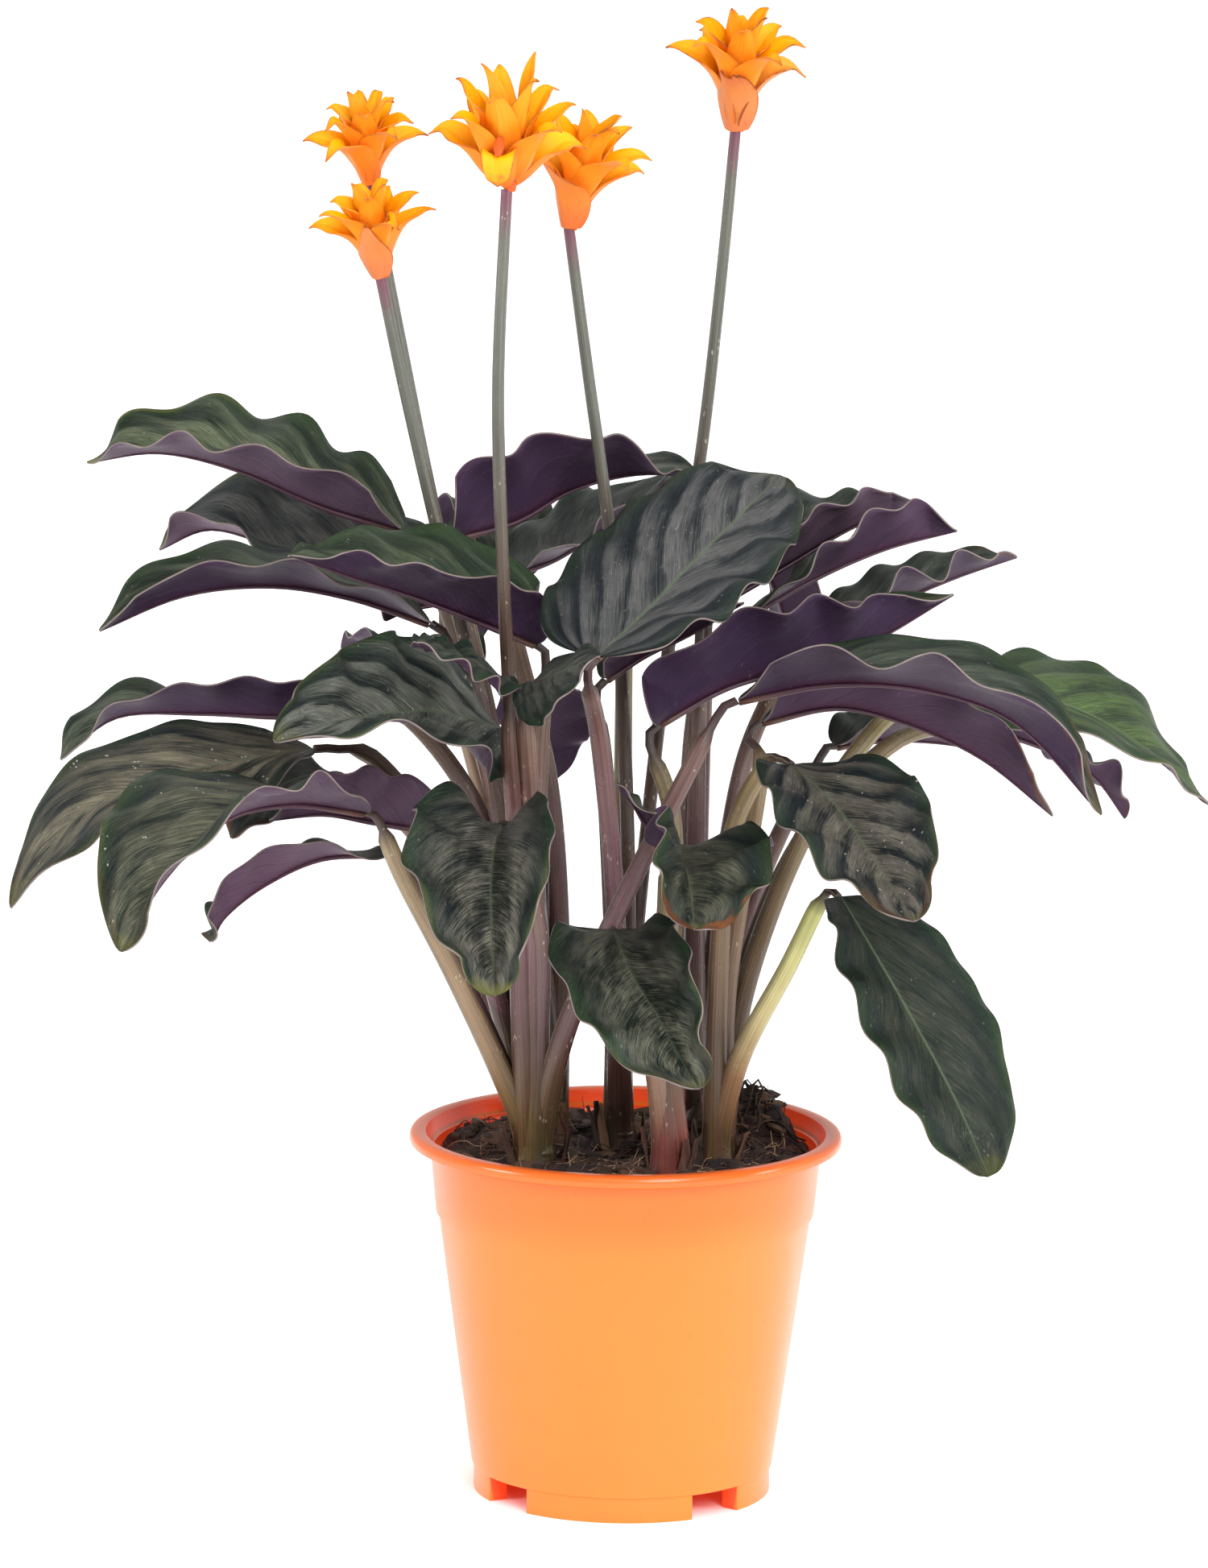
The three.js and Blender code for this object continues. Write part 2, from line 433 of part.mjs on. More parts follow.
// ---- flowers ----
// One bract: it rises with the cup, then turns out to its tip. rank 0 is the lowest, 1 the highest.
function bract(rank, turn, { width, height, lowest = LOWEST_TIP }) {
  const reach = width * (0.53 - 0.36 * rank ** 1.3);
  const foot = height * (0.03 + 0.47 * rank);
  const tip = height * (lowest + (1 - lowest) * rank ** 0.8);
  const path = new THREE.CubicBezierCurve3(
    new THREE.Vector3(2.4 + rank, 0, foot),
    new THREE.Vector3(8 - 3.5 * rank, 0, foot + height * 0.26),
    new THREE.Vector3(reach * 0.62, 0, tip + height * (0.12 - 0.2 * rank)),
    new THREE.Vector3(reach, 0, tip),
  );
  const halfWidth = width * (0.17 - 0.05 * rank);
  const widths = [0.4, 1, 0.74, 0.07];
  const grid = widths.map((share, i) => {
    const u = i / (widths.length - 1);
    const centre = path.getPoint(u);
    const growth = path.getTangent(u);
    const inwards = new THREE.Vector3(-growth.z, 0, growth.x);
    return [-1, 0, 1].map((side) => centre.clone()
      .addScaledVector(new THREE.Vector3(0, 1, 0), -side * halfWidth * share)
      .addScaledVector(inwards, Math.abs(side) * halfWidth * share * 0.45));
  });
  return sheet(grid, BRACT).rotateZ(turn);
}

function rosette(flower) {
  const bracts = [];
  for (let i = 0; i < BRACT_COUNT; i += 1) {
    bracts.push(bract(i / (BRACT_COUNT - 1), LOWEST_TURN + i * GOLDEN, flower));
  }
  const cup = [[0, 0], [2.6, 0], [4.6, 0.22], [4.6, 0.5], [0, 0.74]];
  const profile = cup.map(([radius, share]) => new THREE.Vector2(radius, share * flower.height));
  const heart = new THREE.LatheGeometry(profile, 6).rotateX(Math.PI / 2);
  const lean = THREE.MathUtils.degToRad(flower.lean);
  return joined([heart, ...bracts]).rotateY(lean).translate(...flower.base);
}

// ---- pot and soil ----
const wallRadius = (z) => {
  const lower = (z - FLOOR_HEIGHT) / (SHOULDER_HEIGHT - FLOOR_HEIGHT);
  const upper = (z - SHOULDER_HEIGHT) / (POT_HEIGHT - LIP_HEIGHT - SHOULDER_HEIGHT);
  const below = THREE.MathUtils.lerp(BASE_RADIUS, SHOULDER_RADIUS - SHOULDER_STEP, lower);
  const above = THREE.MathUtils.lerp(SHOULDER_RADIUS, NECK_RADIUS, upper);
  return z < SHOULDER_HEIGHT ? below : above;
};

function pot() {
  const lipFoot = POT_HEIGHT - LIP_HEIGHT;
  const profile = [
    [0, FLOOR_HEIGHT], [BASE_RADIUS - 2, FLOOR_HEIGHT], [BASE_RADIUS, FLOOR_HEIGHT + 2],
    [wallRadius(SHOULDER_HEIGHT - 0.01), SHOULDER_HEIGHT - 1],
    [wallRadius(SHOULDER_HEIGHT), SHOULDER_HEIGHT],
    [NECK_RADIUS, lipFoot], [RIM_RADIUS - 1, lipFoot], [RIM_RADIUS, lipFoot + 1.2],
    [RIM_RADIUS - 0.4, POT_HEIGHT - 1], [RIM_RADIUS - 1.8, POT_HEIGHT], [RIM_RADIUS - 4.4, POT_HEIGHT],
    [RIM_RADIUS - 5.6, POT_HEIGHT - 1], [NECK_RADIUS - WALL, lipFoot - 1.5],
    [wallRadius(SHOULDER_HEIGHT) - WALL, SHOULDER_HEIGHT],
    [wallRadius(SHOULDER_HEIGHT - 0.01) - WALL, SHOULDER_HEIGHT - 1],
    [BASE_RADIUS - WALL, FLOOR_HEIGHT + WALL], [0, FLOOR_HEIGHT + WALL],
  ].map(([r, z]) => new THREE.Vector2(r, z));
  const body = new THREE.LatheGeometry(profile, POT_SIDES).rotateX(Math.PI / 2);
  const feet = Array.from({ length: FOOT_COUNT }, (_, k) => foot(FOOT_START + (k * 360) / FOOT_COUNT));
  return joined([body, ...feet]);
}

function foot(middle) {
  const from = THREE.MathUtils.degToRad(middle - FOOT_SPAN / 2);
  const to = THREE.MathUtils.degToRad(middle + FOOT_SPAN / 2);
  const shape = new THREE.Shape();
  shape.absarc(0, 0, FOOT_OUTER, from, to, false);
  shape.absarc(0, 0, FOOT_INNER, to, from, true);
  shape.closePath();
  const depth = FLOOR_HEIGHT + 0.6;
  return new THREE.ExtrudeGeometry(shape, { depth, bevelEnabled: false, curveSegments: 4 });
}

// Soil surface: nearly level, with a few humps, one of them standing above the rim at the back.
const HUMPS = [
  [44, 36, 13, 11], [-48, 22, 4, 12], [-20, -40, 2, 14],
  [34, -36, -2, 12], [2, 44, 3, 14], [-50, -20, -2, 10],
];
const humpAt = (x, y, [middleX, middleY, height, spread]) => {
  const distance = Math.hypot(x - middleX, y - middleY);
  return height * Math.exp(-(distance ** 2) / (2 * spread ** 2));
};
const surface = (x, y) => HUMPS.reduce((z, hump) => z + humpAt(x, y, hump), SOIL_LEVEL);

function soil() {
  const innerWall = (z) => wallRadius(z) - WALL - GAP - 0.2;
  const rings = [0.3, 0.55, 0.78, 1];
  const top = innerWall(SOIL_LEVEL);
  const vertices = [new THREE.Vector3(0, 0, surface(0, 0))];
  const ring = (radius, level) => {
    for (let k = 0; k < POT_SIDES; k += 1) {
      const turn = (k / POT_SIDES) * Math.PI * 2;
      const [x, y] = [radius * Math.cos(turn), radius * Math.sin(turn)];
      vertices.push(new THREE.Vector3(x, y, level ?? surface(x, y)));
    }
  };
  rings.forEach((share) => ring(top * share));
  ring(innerWall(SHOULDER_HEIGHT + 1), SHOULDER_HEIGHT + 1);
  ring(innerWall(SHOULDER_HEIGHT - 3), SHOULDER_HEIGHT - 3);
  ring(innerWall(FLOOR_HEIGHT + WALL + GAP) - 0.2, FLOOR_HEIGHT + WALL + GAP);
  vertices.push(new THREE.Vector3(0, 0, FLOOR_HEIGHT + WALL + GAP));
  const ringCount = rings.length + 3;
  const last = vertices.length - 1;
  const index = [];
  for (let k = 0; k < POT_SIDES; k += 1) {
    const next = (k + 1) % POT_SIDES;
    index.push(0, 1 + k, 1 + next);
    for (let r = 0; r + 1 < ringCount; r += 1) {
      const [a, b] = [1 + r * POT_SIDES + k, 1 + r * POT_SIDES + next];
      index.push(a, a + POT_SIDES, b + POT_SIDES, a, b + POT_SIDES, b);
    }
    const lowest = 1 + (ringCount - 1) * POT_SIDES;
    index.push(last, lowest + next, lowest + k);
  }
  const plug = solid(geometryFrom(vertices, index));
  const holes = Object.values(SHOOTS).map(({ x, y, radius }) => solid(
    new THREE.CylinderGeometry(radius + GAP + 0.3, radius + GAP + 0.3, 60, 12)
      .rotateX(Math.PI / 2).translate(x, y, CROWN_BOTTOM - GAP + 30),
  ));
  return fromSolid(holes.reduce((rest, hole) => rest.subtract(hole), plug));
}

// ---- assembly ----
const FINISH = {
  pot: { color: 0xff8a3a, roughness: 0.45, metalness: 0 },
  soil: { color: 0x3a2a20, roughness: 0.95, metalness: 0 },
  shoot: { color: 0x6a5048, roughness: 0.6, metalness: 0 },
  blade: { color: 0x35422f, roughness: 0.5, metalness: 0 },
  bract: { color: 0xff9a28, roughness: 0.55, metalness: 0 },
};

const plant = new THREE.Group();

function add(name, geometry, finish) {
  const mesh = new THREE.Mesh(geometry, new THREE.MeshStandardMaterial(FINISH[finish]));
  mesh.name = name;
  plant.add(mesh);
}

add('pot', pot(), 'pot');
add('soil', soil(), 'soil');
Object.keys(SHOOTS).forEach((name) => add(`shoot_${name}`, shootBody(name), 'shoot'));
LEAVES.forEach((leaf) => add(`leaf_${leaf.name}`, blade(leaf), 'blade'));
FLOWERS.forEach((flower) => add(flower.name, rosette(flower), 'bract'));

export default plant;
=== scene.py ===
"""Eternal flame calathea in its pot: the looks.

Waved two-coloured leaves on sheathed stalks, orange blooms on slim stems, fibrous soil and a
moulded orange pot. Blender works in metres; the plant's own sizes below are in millimetres.
"""
import math
import random

import bpy
import numpy as np
from mathutils import Matrix, Vector, noise


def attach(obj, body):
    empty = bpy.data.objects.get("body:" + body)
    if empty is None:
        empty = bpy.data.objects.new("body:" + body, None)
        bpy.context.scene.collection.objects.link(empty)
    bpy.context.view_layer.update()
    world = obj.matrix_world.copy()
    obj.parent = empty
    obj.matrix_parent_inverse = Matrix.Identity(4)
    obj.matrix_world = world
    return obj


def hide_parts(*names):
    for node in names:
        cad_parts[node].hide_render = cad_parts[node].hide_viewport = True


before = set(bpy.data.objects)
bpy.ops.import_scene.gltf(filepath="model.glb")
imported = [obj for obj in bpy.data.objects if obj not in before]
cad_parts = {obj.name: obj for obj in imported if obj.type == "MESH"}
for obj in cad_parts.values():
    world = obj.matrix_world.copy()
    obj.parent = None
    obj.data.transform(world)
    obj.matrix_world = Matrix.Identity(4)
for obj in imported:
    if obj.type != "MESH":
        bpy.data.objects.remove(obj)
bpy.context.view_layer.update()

MM = 0.001

# ---- driving sizes, in millimetres ----
POT_HEIGHT = 118.5
RIM_RADIUS = 70
LIP_HEIGHT = 4.2
NECK_RADIUS = 63.4          # outside of the wall just under the lip
SHOULDER_HEIGHT = 92        # where the wall steps in
SHOULDER_STEP = 1.2
SHOULDER_RADIUS = NECK_RADIUS - 1.9
BASE_RADIUS = 49
WALL = 1.6
FLOOR_HEIGHT = 8
FOOT_OUTER = 48.2
FOOT_INNER = 42
FOOT_SPAN = 67              # degrees of arc covered by one foot
FOOT_MIDDLE = -96.7         # degrees, middle of the front foot
POT_SIDES = 128             # points round the pot
SOIL_LEVEL = 110
SOIL_RADIUS = 61.2
SOIL_DEPTH = 9              # how deep the finer top of the soil reaches
SOIL_SIDES = 176            # points round the soil's surface
SOIL_RINGS = 58             # rings from its edge to its middle
CROWN_FOOT = 104            # where a crown starts under the soil surface
BLADE_THICKNESS = 0.55
BLADE_POINT = 0.35          # half width of a blade at its very base and tip
BLADE_CURL = math.radians(18)
TAPER = 0.7                 # how slowly a blade widens from its two ends
RIB_COUNT = 5.2             # side veins along one half of a blade
RIB_BEND = 0.3              # share of a side vein's forward run which comes near the margin
RIB_HEIGHT = 0.5
STALK_GAP = 0.6             # between a stalk's end and its blade
BRACT_THICKNESS = 0.5
BRACT_COUNT = 15
GOLDEN = math.radians(137.5)
FULL_TURN = 6.28            # radians, near enough for a random turn
FIBRES = 330                # strands lying on the soil
FIBRE_TONES = ["#9a7a62", "#7c5c4c", "#573d33", "#35251f", "#b89a78"]
THICK_FIBRE = 0.3           # radius from which a strand is a dark root
ROOT_TONES = ["#3a2b22", "#2b201a", "#574233"]
TANGLE = 46                 # strands of the tangle on the hump at the back
TANGLE_MIDDLE = (44, 34)
CHIPS = 230                 # bark chips and clods lying on the soil
CHIP_TONES = ["#4a3526", "#33251c", "#5e4532", "#241a15", "#3c2c22"]
HEAP = 40                   # further chips on the hump at the back
HEAP_MIDDLE = (44, 35)
HUSKS = 5                   # dead sheaths round each crown
HUSK_TONES = ["#4b3629", "#6a4c36", "#33241c", "#5b3b30"]
LOWEST_TURN = math.radians(-112)        # where a rosette's lowest bract points
FRONT_TURNS = {"cup": math.radians(-100), "broad": math.radians(-135)}      # and where if it is one of these
FLECKED = ("left_big", "left_front", "left_facing", "right_facing")     # leaves with dried water marks

# Soil surface: level with a few humps, one of them standing above the rim at the back.
HUMPS = [
    (44, 36, 13, 11), (-48, 22, 4, 12), (-20, -40, 2, 14),
    (34, -36, -2, 12), (2, 44, 3, 14), (-50, -20, -2, 10),
]

# Shoots: place and radius of each crown where it leaves the soil.
SHOOTS = {
    "left": (-29, -14, 8.5),
    "middle": (-2, 15, 7),
    "front": (14, -24, 6.5),
    "right": (29, -4, 7),
    "back_left": (-23, 23, 6.5),
    "back_right": (24, 26, 6.5),
}


def half(width, raised, lobe, waves):
    """One half of a blade: its width, the degrees it is raised at base, middle and tip, how far its
    base lobe reaches back, and its margin's waves: how many, how high and where they start."""
    return dict(width=width, raised=raised, lobe=lobe, waves=waves)


def leaf(name, shoot, midrib, right, left, stem, habit, skin="mauve", taper=TAPER, sweep=(0.6, 0.6),
         shade=(0.5, 0.5, 0.3)):
    """One leaf: midrib holds points from base to tip, stem the stalk's points above its crown, habit
    how green, how strongly banded, how yellow at the tip and how scorched it is, sweep how far the
    side veins run forward in its left and right half, and shade how pale and how brown it is above
    and how pale it is beneath."""
    return dict(name=name, shoot=shoot, midrib=midrib, right=right, left=left, stem=stem,
                habit=habit, skin=skin, taper=taper, sweep=sweep, shade=shade)


def flower(name, shoot, width, height, lean, base, stem, spent=0.3, belly=(5.5, 0.3),
           lowest=0.46, front="plain"):
    """One bloom: lean in degrees to +X, base the foot of its rosette, spent how browned it is, belly
    how wide it swells and at which share of its height, lowest the share at which its lowest tips
    are, and front how its foremost bract hangs."""
    return dict(name=name, shoot=shoot, width=width, height=height, lean=lean, base=base, stem=stem,
                spent=spent, belly=belly, lowest=lowest, front=front)


# Leaves. 43 of their 76 halves come from a search program, and most of those were only rounded since.
# 27 of their 38 midribs were worked out by a program from listed places, and most stem points lie
# within 3 mm of paths worked out in that way. The rest was listed.
LEAVES = [
    leaf("upper_left_1", "back_left", habit=(0.5, 0.55, 0.9, 0.0), shade=(0.8, 0.6, 0.6),
         midrib=[(-74, 25, 310), (-100, 27, 317), (-127, 30, 328), (-153, 34, 333), (-177, 38, 329)],
         right=half(28, [50, 40, 60], 4, [4.5, 4, 0.4]), left=half(28, [50, 25, 15], 0, [4.5, 2, 0.3]),
         stem=[(-28, 24, 160), (-40, 25, 225), (-60, 26, 285)]),
    leaf("upper_left_2", "back_left", habit=(0.1, 0.5, 0.5, 0.0), shade=(0.6, 0.4, 0.7),
         midrib=[(-70, 52, 292), (-91, 56, 295), (-115, 60, 299), (-138, 64, 304), (-155, 64, 297)],
         right=half(28, [35, 45, 30], 8, [3.5, 4, 0.9]), left=half(28, [20, 5, 55], 0, [4.5, 2, 0.5]),
         stem=[(-29, 34, 160), (-43, 42, 220), (-60, 50, 275)]),
    leaf("left_1", "left", habit=(0.45, 0.5, 0.1, 0.0), shade=(0.6, 0.6, 0.1),
         midrib=[(-65, 5, 283), (-89, 3, 291), (-115, 0, 295), (-143, -3, 292), (-170, -8, 281)],
         right=half(25, [25, 20, 80], 4, [4.5, 2, 0.5]), left=half(25, [10, 25, 45], 8, [4, 1.5, 0.4]),
         stem=[(-33, 0, 160), (-42, 6, 220), (-55, 6, 265)]),
    leaf("left_2", "left", habit=(0.6, 0.6, 0.1, 0.0), shade=(0.5, 0.4, 0.1),
         midrib=[(-31, -10, 279), (-50, -20, 288), (-70, -31, 297), (-90, -43, 305), (-107, -56, 313)],
         right=half(30, [80, 45, 5], 8, [4, 2, 0.7]), left=half(25, [65, 25, 40], 4, [4.5, 1.5, 0.6]),
         stem=[(-30, -10, 175), (-29, -8, 240)]),
    leaf("top_middle", "back_left", habit=(0.2, 0.7, 0.1, 0.0), shade=(0.5, 0.5, 0.15),
         midrib=[(-60, 40, 305), (-38, 50, 310), (-20, 60, 319), (1, 70, 323), (24, 80, 321)],
         right=half(32, [80, 45, -25], 8, [4.5, 3, 0.5]), left=half(25, [45, 10, 55], 0, [4, 4, 0.5]),
         stem=[(-27, 29, 160), (-40, 34, 220), (-54, 38, 280)]),
    leaf("behind_middle", "back_left", habit=(0.2, 0.3, 0.1, 0.0),
         midrib=[(-38, 56, 292), (-23, 70, 296), (-4, 86, 307), (20, 106, 319)],
         right=half(25, [30, 30, 35], 8, [2.5, 3, 0.1]), left=half(26, [-5, 10, 10], 8, [3.5, 1.5, 0.9]),
         stem=[(-22, 33, 170), (-26, 36, 225), (-38, 48, 272)]),
    leaf("middle_big", "middle", habit=(0.05, 1.0, 0.1, 0.0), taper=0.5,
         sweep=(0.8, 0.5), shade=(0.45, 0.35, 0.3),
         midrib=[(-11, -49, 281), (4, -29, 292), (19, -8, 305), (34, 14, 317), (47, 33, 328)],
         right=half(28, [10, -5, -15], 0, [4.5, 3, 0.4]), left=half(35, [30, 15, 45], 7, [4.5, 1, 0.4]),
         stem=[(-3, 2, 160), (-5, -8, 205), (-10, -18, 250)]),
    leaf("middle_small_right", "left", habit=(0.2, 0.5, 0.1, 0.0),
         midrib=[(-32, -52, 273), (-26, -66, 277), (-19, -78, 282), (-11, -88, 287)],
         right=half(17, [-50, -60, -50], 0, [1.5, 1.5, 0.2]), left=half(13, [45, 35, 40], 0, [2, 1, 0.1]),
         stem=[(-31, -24, 165), (-31, -34, 220), (-33, -44, 255)]),
    leaf("middle_small_left", "left", habit=(0.3, 0.5, 0.1, 0.0),
         midrib=[(-41, -48, 274), (-49, -60, 278), (-58, -71, 285), (-67, -82, 290)],
         right=half(15, [55, 20, 10], 2, [5, 3, 0.1]), left=half(17, [-10, -20, -15], 0, [4, 2.5, 0.2]),
         stem=[(-34, -25, 165), (-36, -34, 220), (-38, -41, 250)]),
    leaf("left_facing", "left", habit=(0.2, 0.7, 0.3, 0.0), shade=(1.0, 0.4, 0.3),
         midrib=[(-41, -9, 251), (-60, -28, 259), (-77, -48, 262), (-94, -69, 262), (-110, -88, 259)],
         right=half(25, [70, 75, 70], 0, [4.5, 4, 0.1]), left=half(33, [-70, -10, 5], 4, [3.5, 3, 0.8]),
         stem=[(-33, -15, 160), (-33, -10, 215)]),
    leaf("left_edge_on", "left", habit=(0.4, 0.5, 0.1, 0.0), taper=0.5, shade=(0.8, 0.5, 0.1),
         midrib=[(-94, 10, 253), (-114, 12, 251), (-139, 15, 251), (-166, 17, 249), (-184, 16, 235)],
         right=half(18, [12, 12, 70], 3, [4, 3, 0.5]), left=half(16, [55, 45, -20], 4, [5, 1.5, 0.5]),
         stem=[(-35, 3, 160), (-46, 8, 215), (-70, 10, 250)]),
    leaf("left_big", "left", habit=(0.15, 0.45, 0.3, 0.1), shade=(0.95, 1.0, 0.3),
         midrib=[(-102, -5, 243), (-127, -14, 240), (-152, -26, 236), (-176, -40, 225), (-195, -52, 199)],
         right=half(24, [20, 27, 15], 2, [3, 1.5, 0.3]), left=half(30, [0, -10, 20], 0, [3.5, 4, 0.9]),
         stem=[(-43, 2, 165), (-62, 12, 210), (-82, 6, 238)]),
    leaf("left_front", "left", habit=(0.28, 0.4, 0.3, 0.1), skin="fawn", shade=(0.75, 0.9, 0.3),
         midrib=[(-84, -50, 231), (-106, -66, 236), (-126, -86, 234), (-143, -110, 220), (-156, -121, 199)],
         right=half(34, [-5, 20, 55], 4, [4, 1, 0.3]), left=half(27, [10, 30, 35], 0, [4, 2.5, 0]),
         stem=[(-41, -20, 143), (-57, -29, 178), (-71, -36, 206)]),
    leaf("left_dark", "left", habit=(0.2, 0.3, 0.1, 0.6),
         midrib=[(-92, 32, 228), (-105, 24, 229), (-117, 14, 224), (-128, 4, 212)],
         right=half(18, [0, 30, 20], 0, [4.5, 4, 0.3]), left=half(15, [-10, -5, -5], 5, [4.5, 2.5, 0.1]),
         stem=[(-46, 10, 160), (-62, 26, 200)]),
    leaf("left_purple", "left", habit=(0.3, 0.4, 0.1, 0.0), shade=(0.6, 0.5, 0.6),
         midrib=[(-68, 0, 217), (-83, -6, 220), (-98, -12, 223), (-115, -18, 222)],
         right=half(12, [30, 30, 20], 4, [4, 2, 0.3]), left=half(19, [80, 65, 80], 8, [4, 2, 0.3]),
         stem=[(-41, 0, 160), (-56, 1, 198)]),
    leaf("left_low", "left", habit=(0.3, 0.4, 0.1, 0.3), shade=(0.8, 0.5, 0.6),
         midrib=[(-78, -18, 212), (-98, -28, 212), (-115, -42, 206), (-127, -55, 198), (-131, -62, 191)],
         right=half(15, [5, -10, -30], 6, [4.5, 4, 0.2]), left=half(14, [-35, 65, 70], 0, [5, 1, 0.8]),
         stem=[(-46, -12, 155), (-64, -14, 192)]),
    leaf("front_left", "left", habit=(0.15, 0.1, 0.5, 0.0), shade=(1.0, 0.7, 0.3),
         midrib=[(-41, -43, 226), (-43, -65, 218), (-43, -91, 208), (-42, -111, 196), (-41, -123, 187)],
         right=half(34, [55, 40, 45], 4, [4, 3, 0.7]), left=half(29, [50, 50, 55], 7, [5, 1, 0.7]),
         stem=[(-28, -22, 155), (-28, -28, 185), (-33, -35, 212)]),
    leaf("front_small", "front", habit=(0.25, 0.1, 0.3, 1.0), skin="olive", shade=(0.6, 0.9, 0.3),
         midrib=[(12, -49, 221), (17, -67, 217), (19, -86, 211), (20, -100, 204)],
         right=half(23, [55, 65, 10], 0, [4.5, 2, 0.7]), left=half(29, [5, 25, -10], 0, [3.5, 4, 0.5]),
         stem=[(13, -27, 160), (13, -35, 205)]),
    leaf("front_curl", "front", habit=(0.5, 0.4, 0.2, 0.0), skin="olive",
         midrib=[(10, -37, 218), (5, -44, 227), (1, -49, 234), (-4, -54, 241)],
         right=half(10, [50, 40, 30], 0, [2, 1.5, 0.4]), left=half(8, [10, -10, -20], 0, [2, 1.5, 0.2]),
         stem=[(11, -25, 160), (12, -29, 200)]),
    leaf("front_middle", "front", habit=(0.25, 0.1, 0.2, 0.1), skin="fawn", shade=(0.9, 0.7, 0.3),
         midrib=[(-5, -46, 193), (1, -66, 183), (9, -87, 174), (16, -105, 165), (22, -120, 158)],
         right=half(31, [10, 15, -10], 8, [4, 2, 0.6]), left=half(25, [50, 75, 75], 0, [4.5, 2, 0.5]),
         stem=[(8, -28, 150), (-1, -37, 178)]),
    leaf("right_facing", "right", habit=(0.1, 0.8, 0.2, 0.3), skin="olive", shade=(0.65, 0.8, 0.3),
         midrib=[(51, -42, 246), (64, -64, 237), (73, -87, 228), (81, -108, 219), (87, -124, 212)],
         right=half(28, [20, 15, 10], 8, [4, 2.5, 0]), left=half(25, [25, 45, 45], 0, [4.5, 1.5, 0.4]),
         stem=[(29, -8, 160), (32, -15, 215), (43, -25, 243)]),
    leaf("right_hanging", "right", habit=(0.3, 0.3, 0.2, 0.0), skin="cream", taper=0.5, shade=(0.2, 1.0, 0.3),
         midrib=[(67, -38, 203), (77, -50, 188), (90, -66, 168), (103, -81, 146), (113, -92, 125)],
         right=half(24, [35, 10, -10], 0, [5.5, 2, 0]), left=half(28, [5, 10, 5], 0, [3.5, 0.8, 0.3]),
         stem=[(37, -11, 146), (51, -24, 177)]),
    leaf("right_long", "left", habit=(0.4, 0.5, 0.1, 0.3), shade=(0.5, 0.5, 0.05),
         midrib=[(34, -25, 264), (63, -28, 270), (93, -32, 269), (122, -36, 259), (149, -40, 231)],
         right=half(31, [45, 25, 50], 0, [3.5, 3, 0.4]), left=half(30, [20, 25, 50], 2, [5, 1.5, 0.4]),
         stem=[(-20, -25, 155), (-3, -29, 197), (18, -28, 240)]),
    leaf("right_low", "right", habit=(0.3, 0.5, 0.1, 1.0), skin="olive",
         midrib=[(42, 6, 252), (66, 6, 257), (89, 5, 252), (113, 4, 241), (136, 2, 223)],
         right=half(24, [55, 55, 50], 0, [4.5, 2.5, 0.8]), left=half(14, [20, 15, 20], 2, [3.5, 2.5, 0]),
         stem=[(32, -4, 165), (39, -2, 215), (42, 0, 240)]),
    leaf("right_green", "right", habit=(1.0, 0.7, 0.5, 0.0), skin="olive",
         midrib=[(104, 40, 255), (127, 45, 256), (152, 50, 247), (173, 55, 233), (191, 58, 217)],
         right=half(26, [-45, -10, -10], 8, [3.5, 1.5, 0.7]), left=half(36, [-40, 25, 0], 8, [3.5, 1.5, 0.1]),
         stem=[(38, 2, 165), (56, 14, 212), (80, 27, 247)]),
    leaf("right_tip", "right", habit=(0.4, 0.4, 0.1, 0.3), skin="olive",
         midrib=[(118, 54, 243), (137, 61, 235), (153, 67, 225), (164, 72, 210)],
         right=half(12, [40, 25, 45], 4, [3.5, 3.5, 0.9]), left=half(16, [-5, 5, 40], 8, [3.5, 4, 0]),
         stem=[(37, 9, 165), (56, 22, 210), (86, 38, 240)]),
    leaf("right_purple", "front", habit=(0.5, 0.5, 0.2, 0.0), skin="olive", shade=(0.5, 0.5, 0.05),
         midrib=[(9, 5, 251), (30, 10, 262), (53, 16, 268), (77, 24, 275), (104, 32, 290)],
         right=half(27, [75, 60, 65], 10, [4.5, 3.5, 0.6]), left=half(28, [15, 20, 50], 0, [4.5, 3, 0.2]),
         stem=[(15, -14, 165), (14, -1, 220)]),
    leaf("upper_right_1", "back_right", habit=(0.3, 0.5, 0.1, 0.0), shade=(0.5, 0.5, 0.8),
         midrib=[(26, 52, 282), (49, 60, 294), (71, 68, 306), (93, 76, 314)],
         right=half(22, [80, 45, 65], 8, [4.5, 2, 0.8]), left=half(25, [60, 45, -5], 8, [4.5, 4, 0.7]),
         stem=[(22, 29, 170), (22, 40, 240)]),
    leaf("upper_right_2", "back_right", habit=(0.5, 0.5, 0.1, 0.0), shade=(0.5, 0.5, 0.3),
         midrib=[(29, 43, 275), (55, 49, 290), (81, 54, 301), (106, 60, 307)],
         right=half(29, [15, 30, 80], 0, [4.5, 1.5, 0.4]), left=half(25, [-25, 5, 25], 0, [3.5, 2, 0.7]),
         stem=[(20, 34, 175), (20, 42, 235)]),
    leaf("upper_right_3", "back_right", habit=(0.3, 0.5, 0.1, 0.3),
         midrib=[(60, 60, 271), (84, 68, 281), (106, 76, 289), (127, 84, 295)],
         right=half(19, [45, 30, 45], 0, [3.5, 4, 0.9]), left=half(18, [35, 25, 40], 0, [4.5, 1.5, 0.4]),
         stem=[(28, 34, 170), (36, 48, 225), (46, 56, 252)]),
    leaf("low_right", "back_right", habit=(0.2, 0.3, 0.1, 1.0),
         midrib=[(68, 56, 236), (84, 63, 237), (100, 71, 235), (115, 76, 232)],
         right=half(18, [35, 30, 20], 3, [4, 2, 0.3]), left=half(18, [35, 30, 20], 3, [4, 2, 0.8]),
         stem=[(32, 33, 155), (44, 44, 195)]),
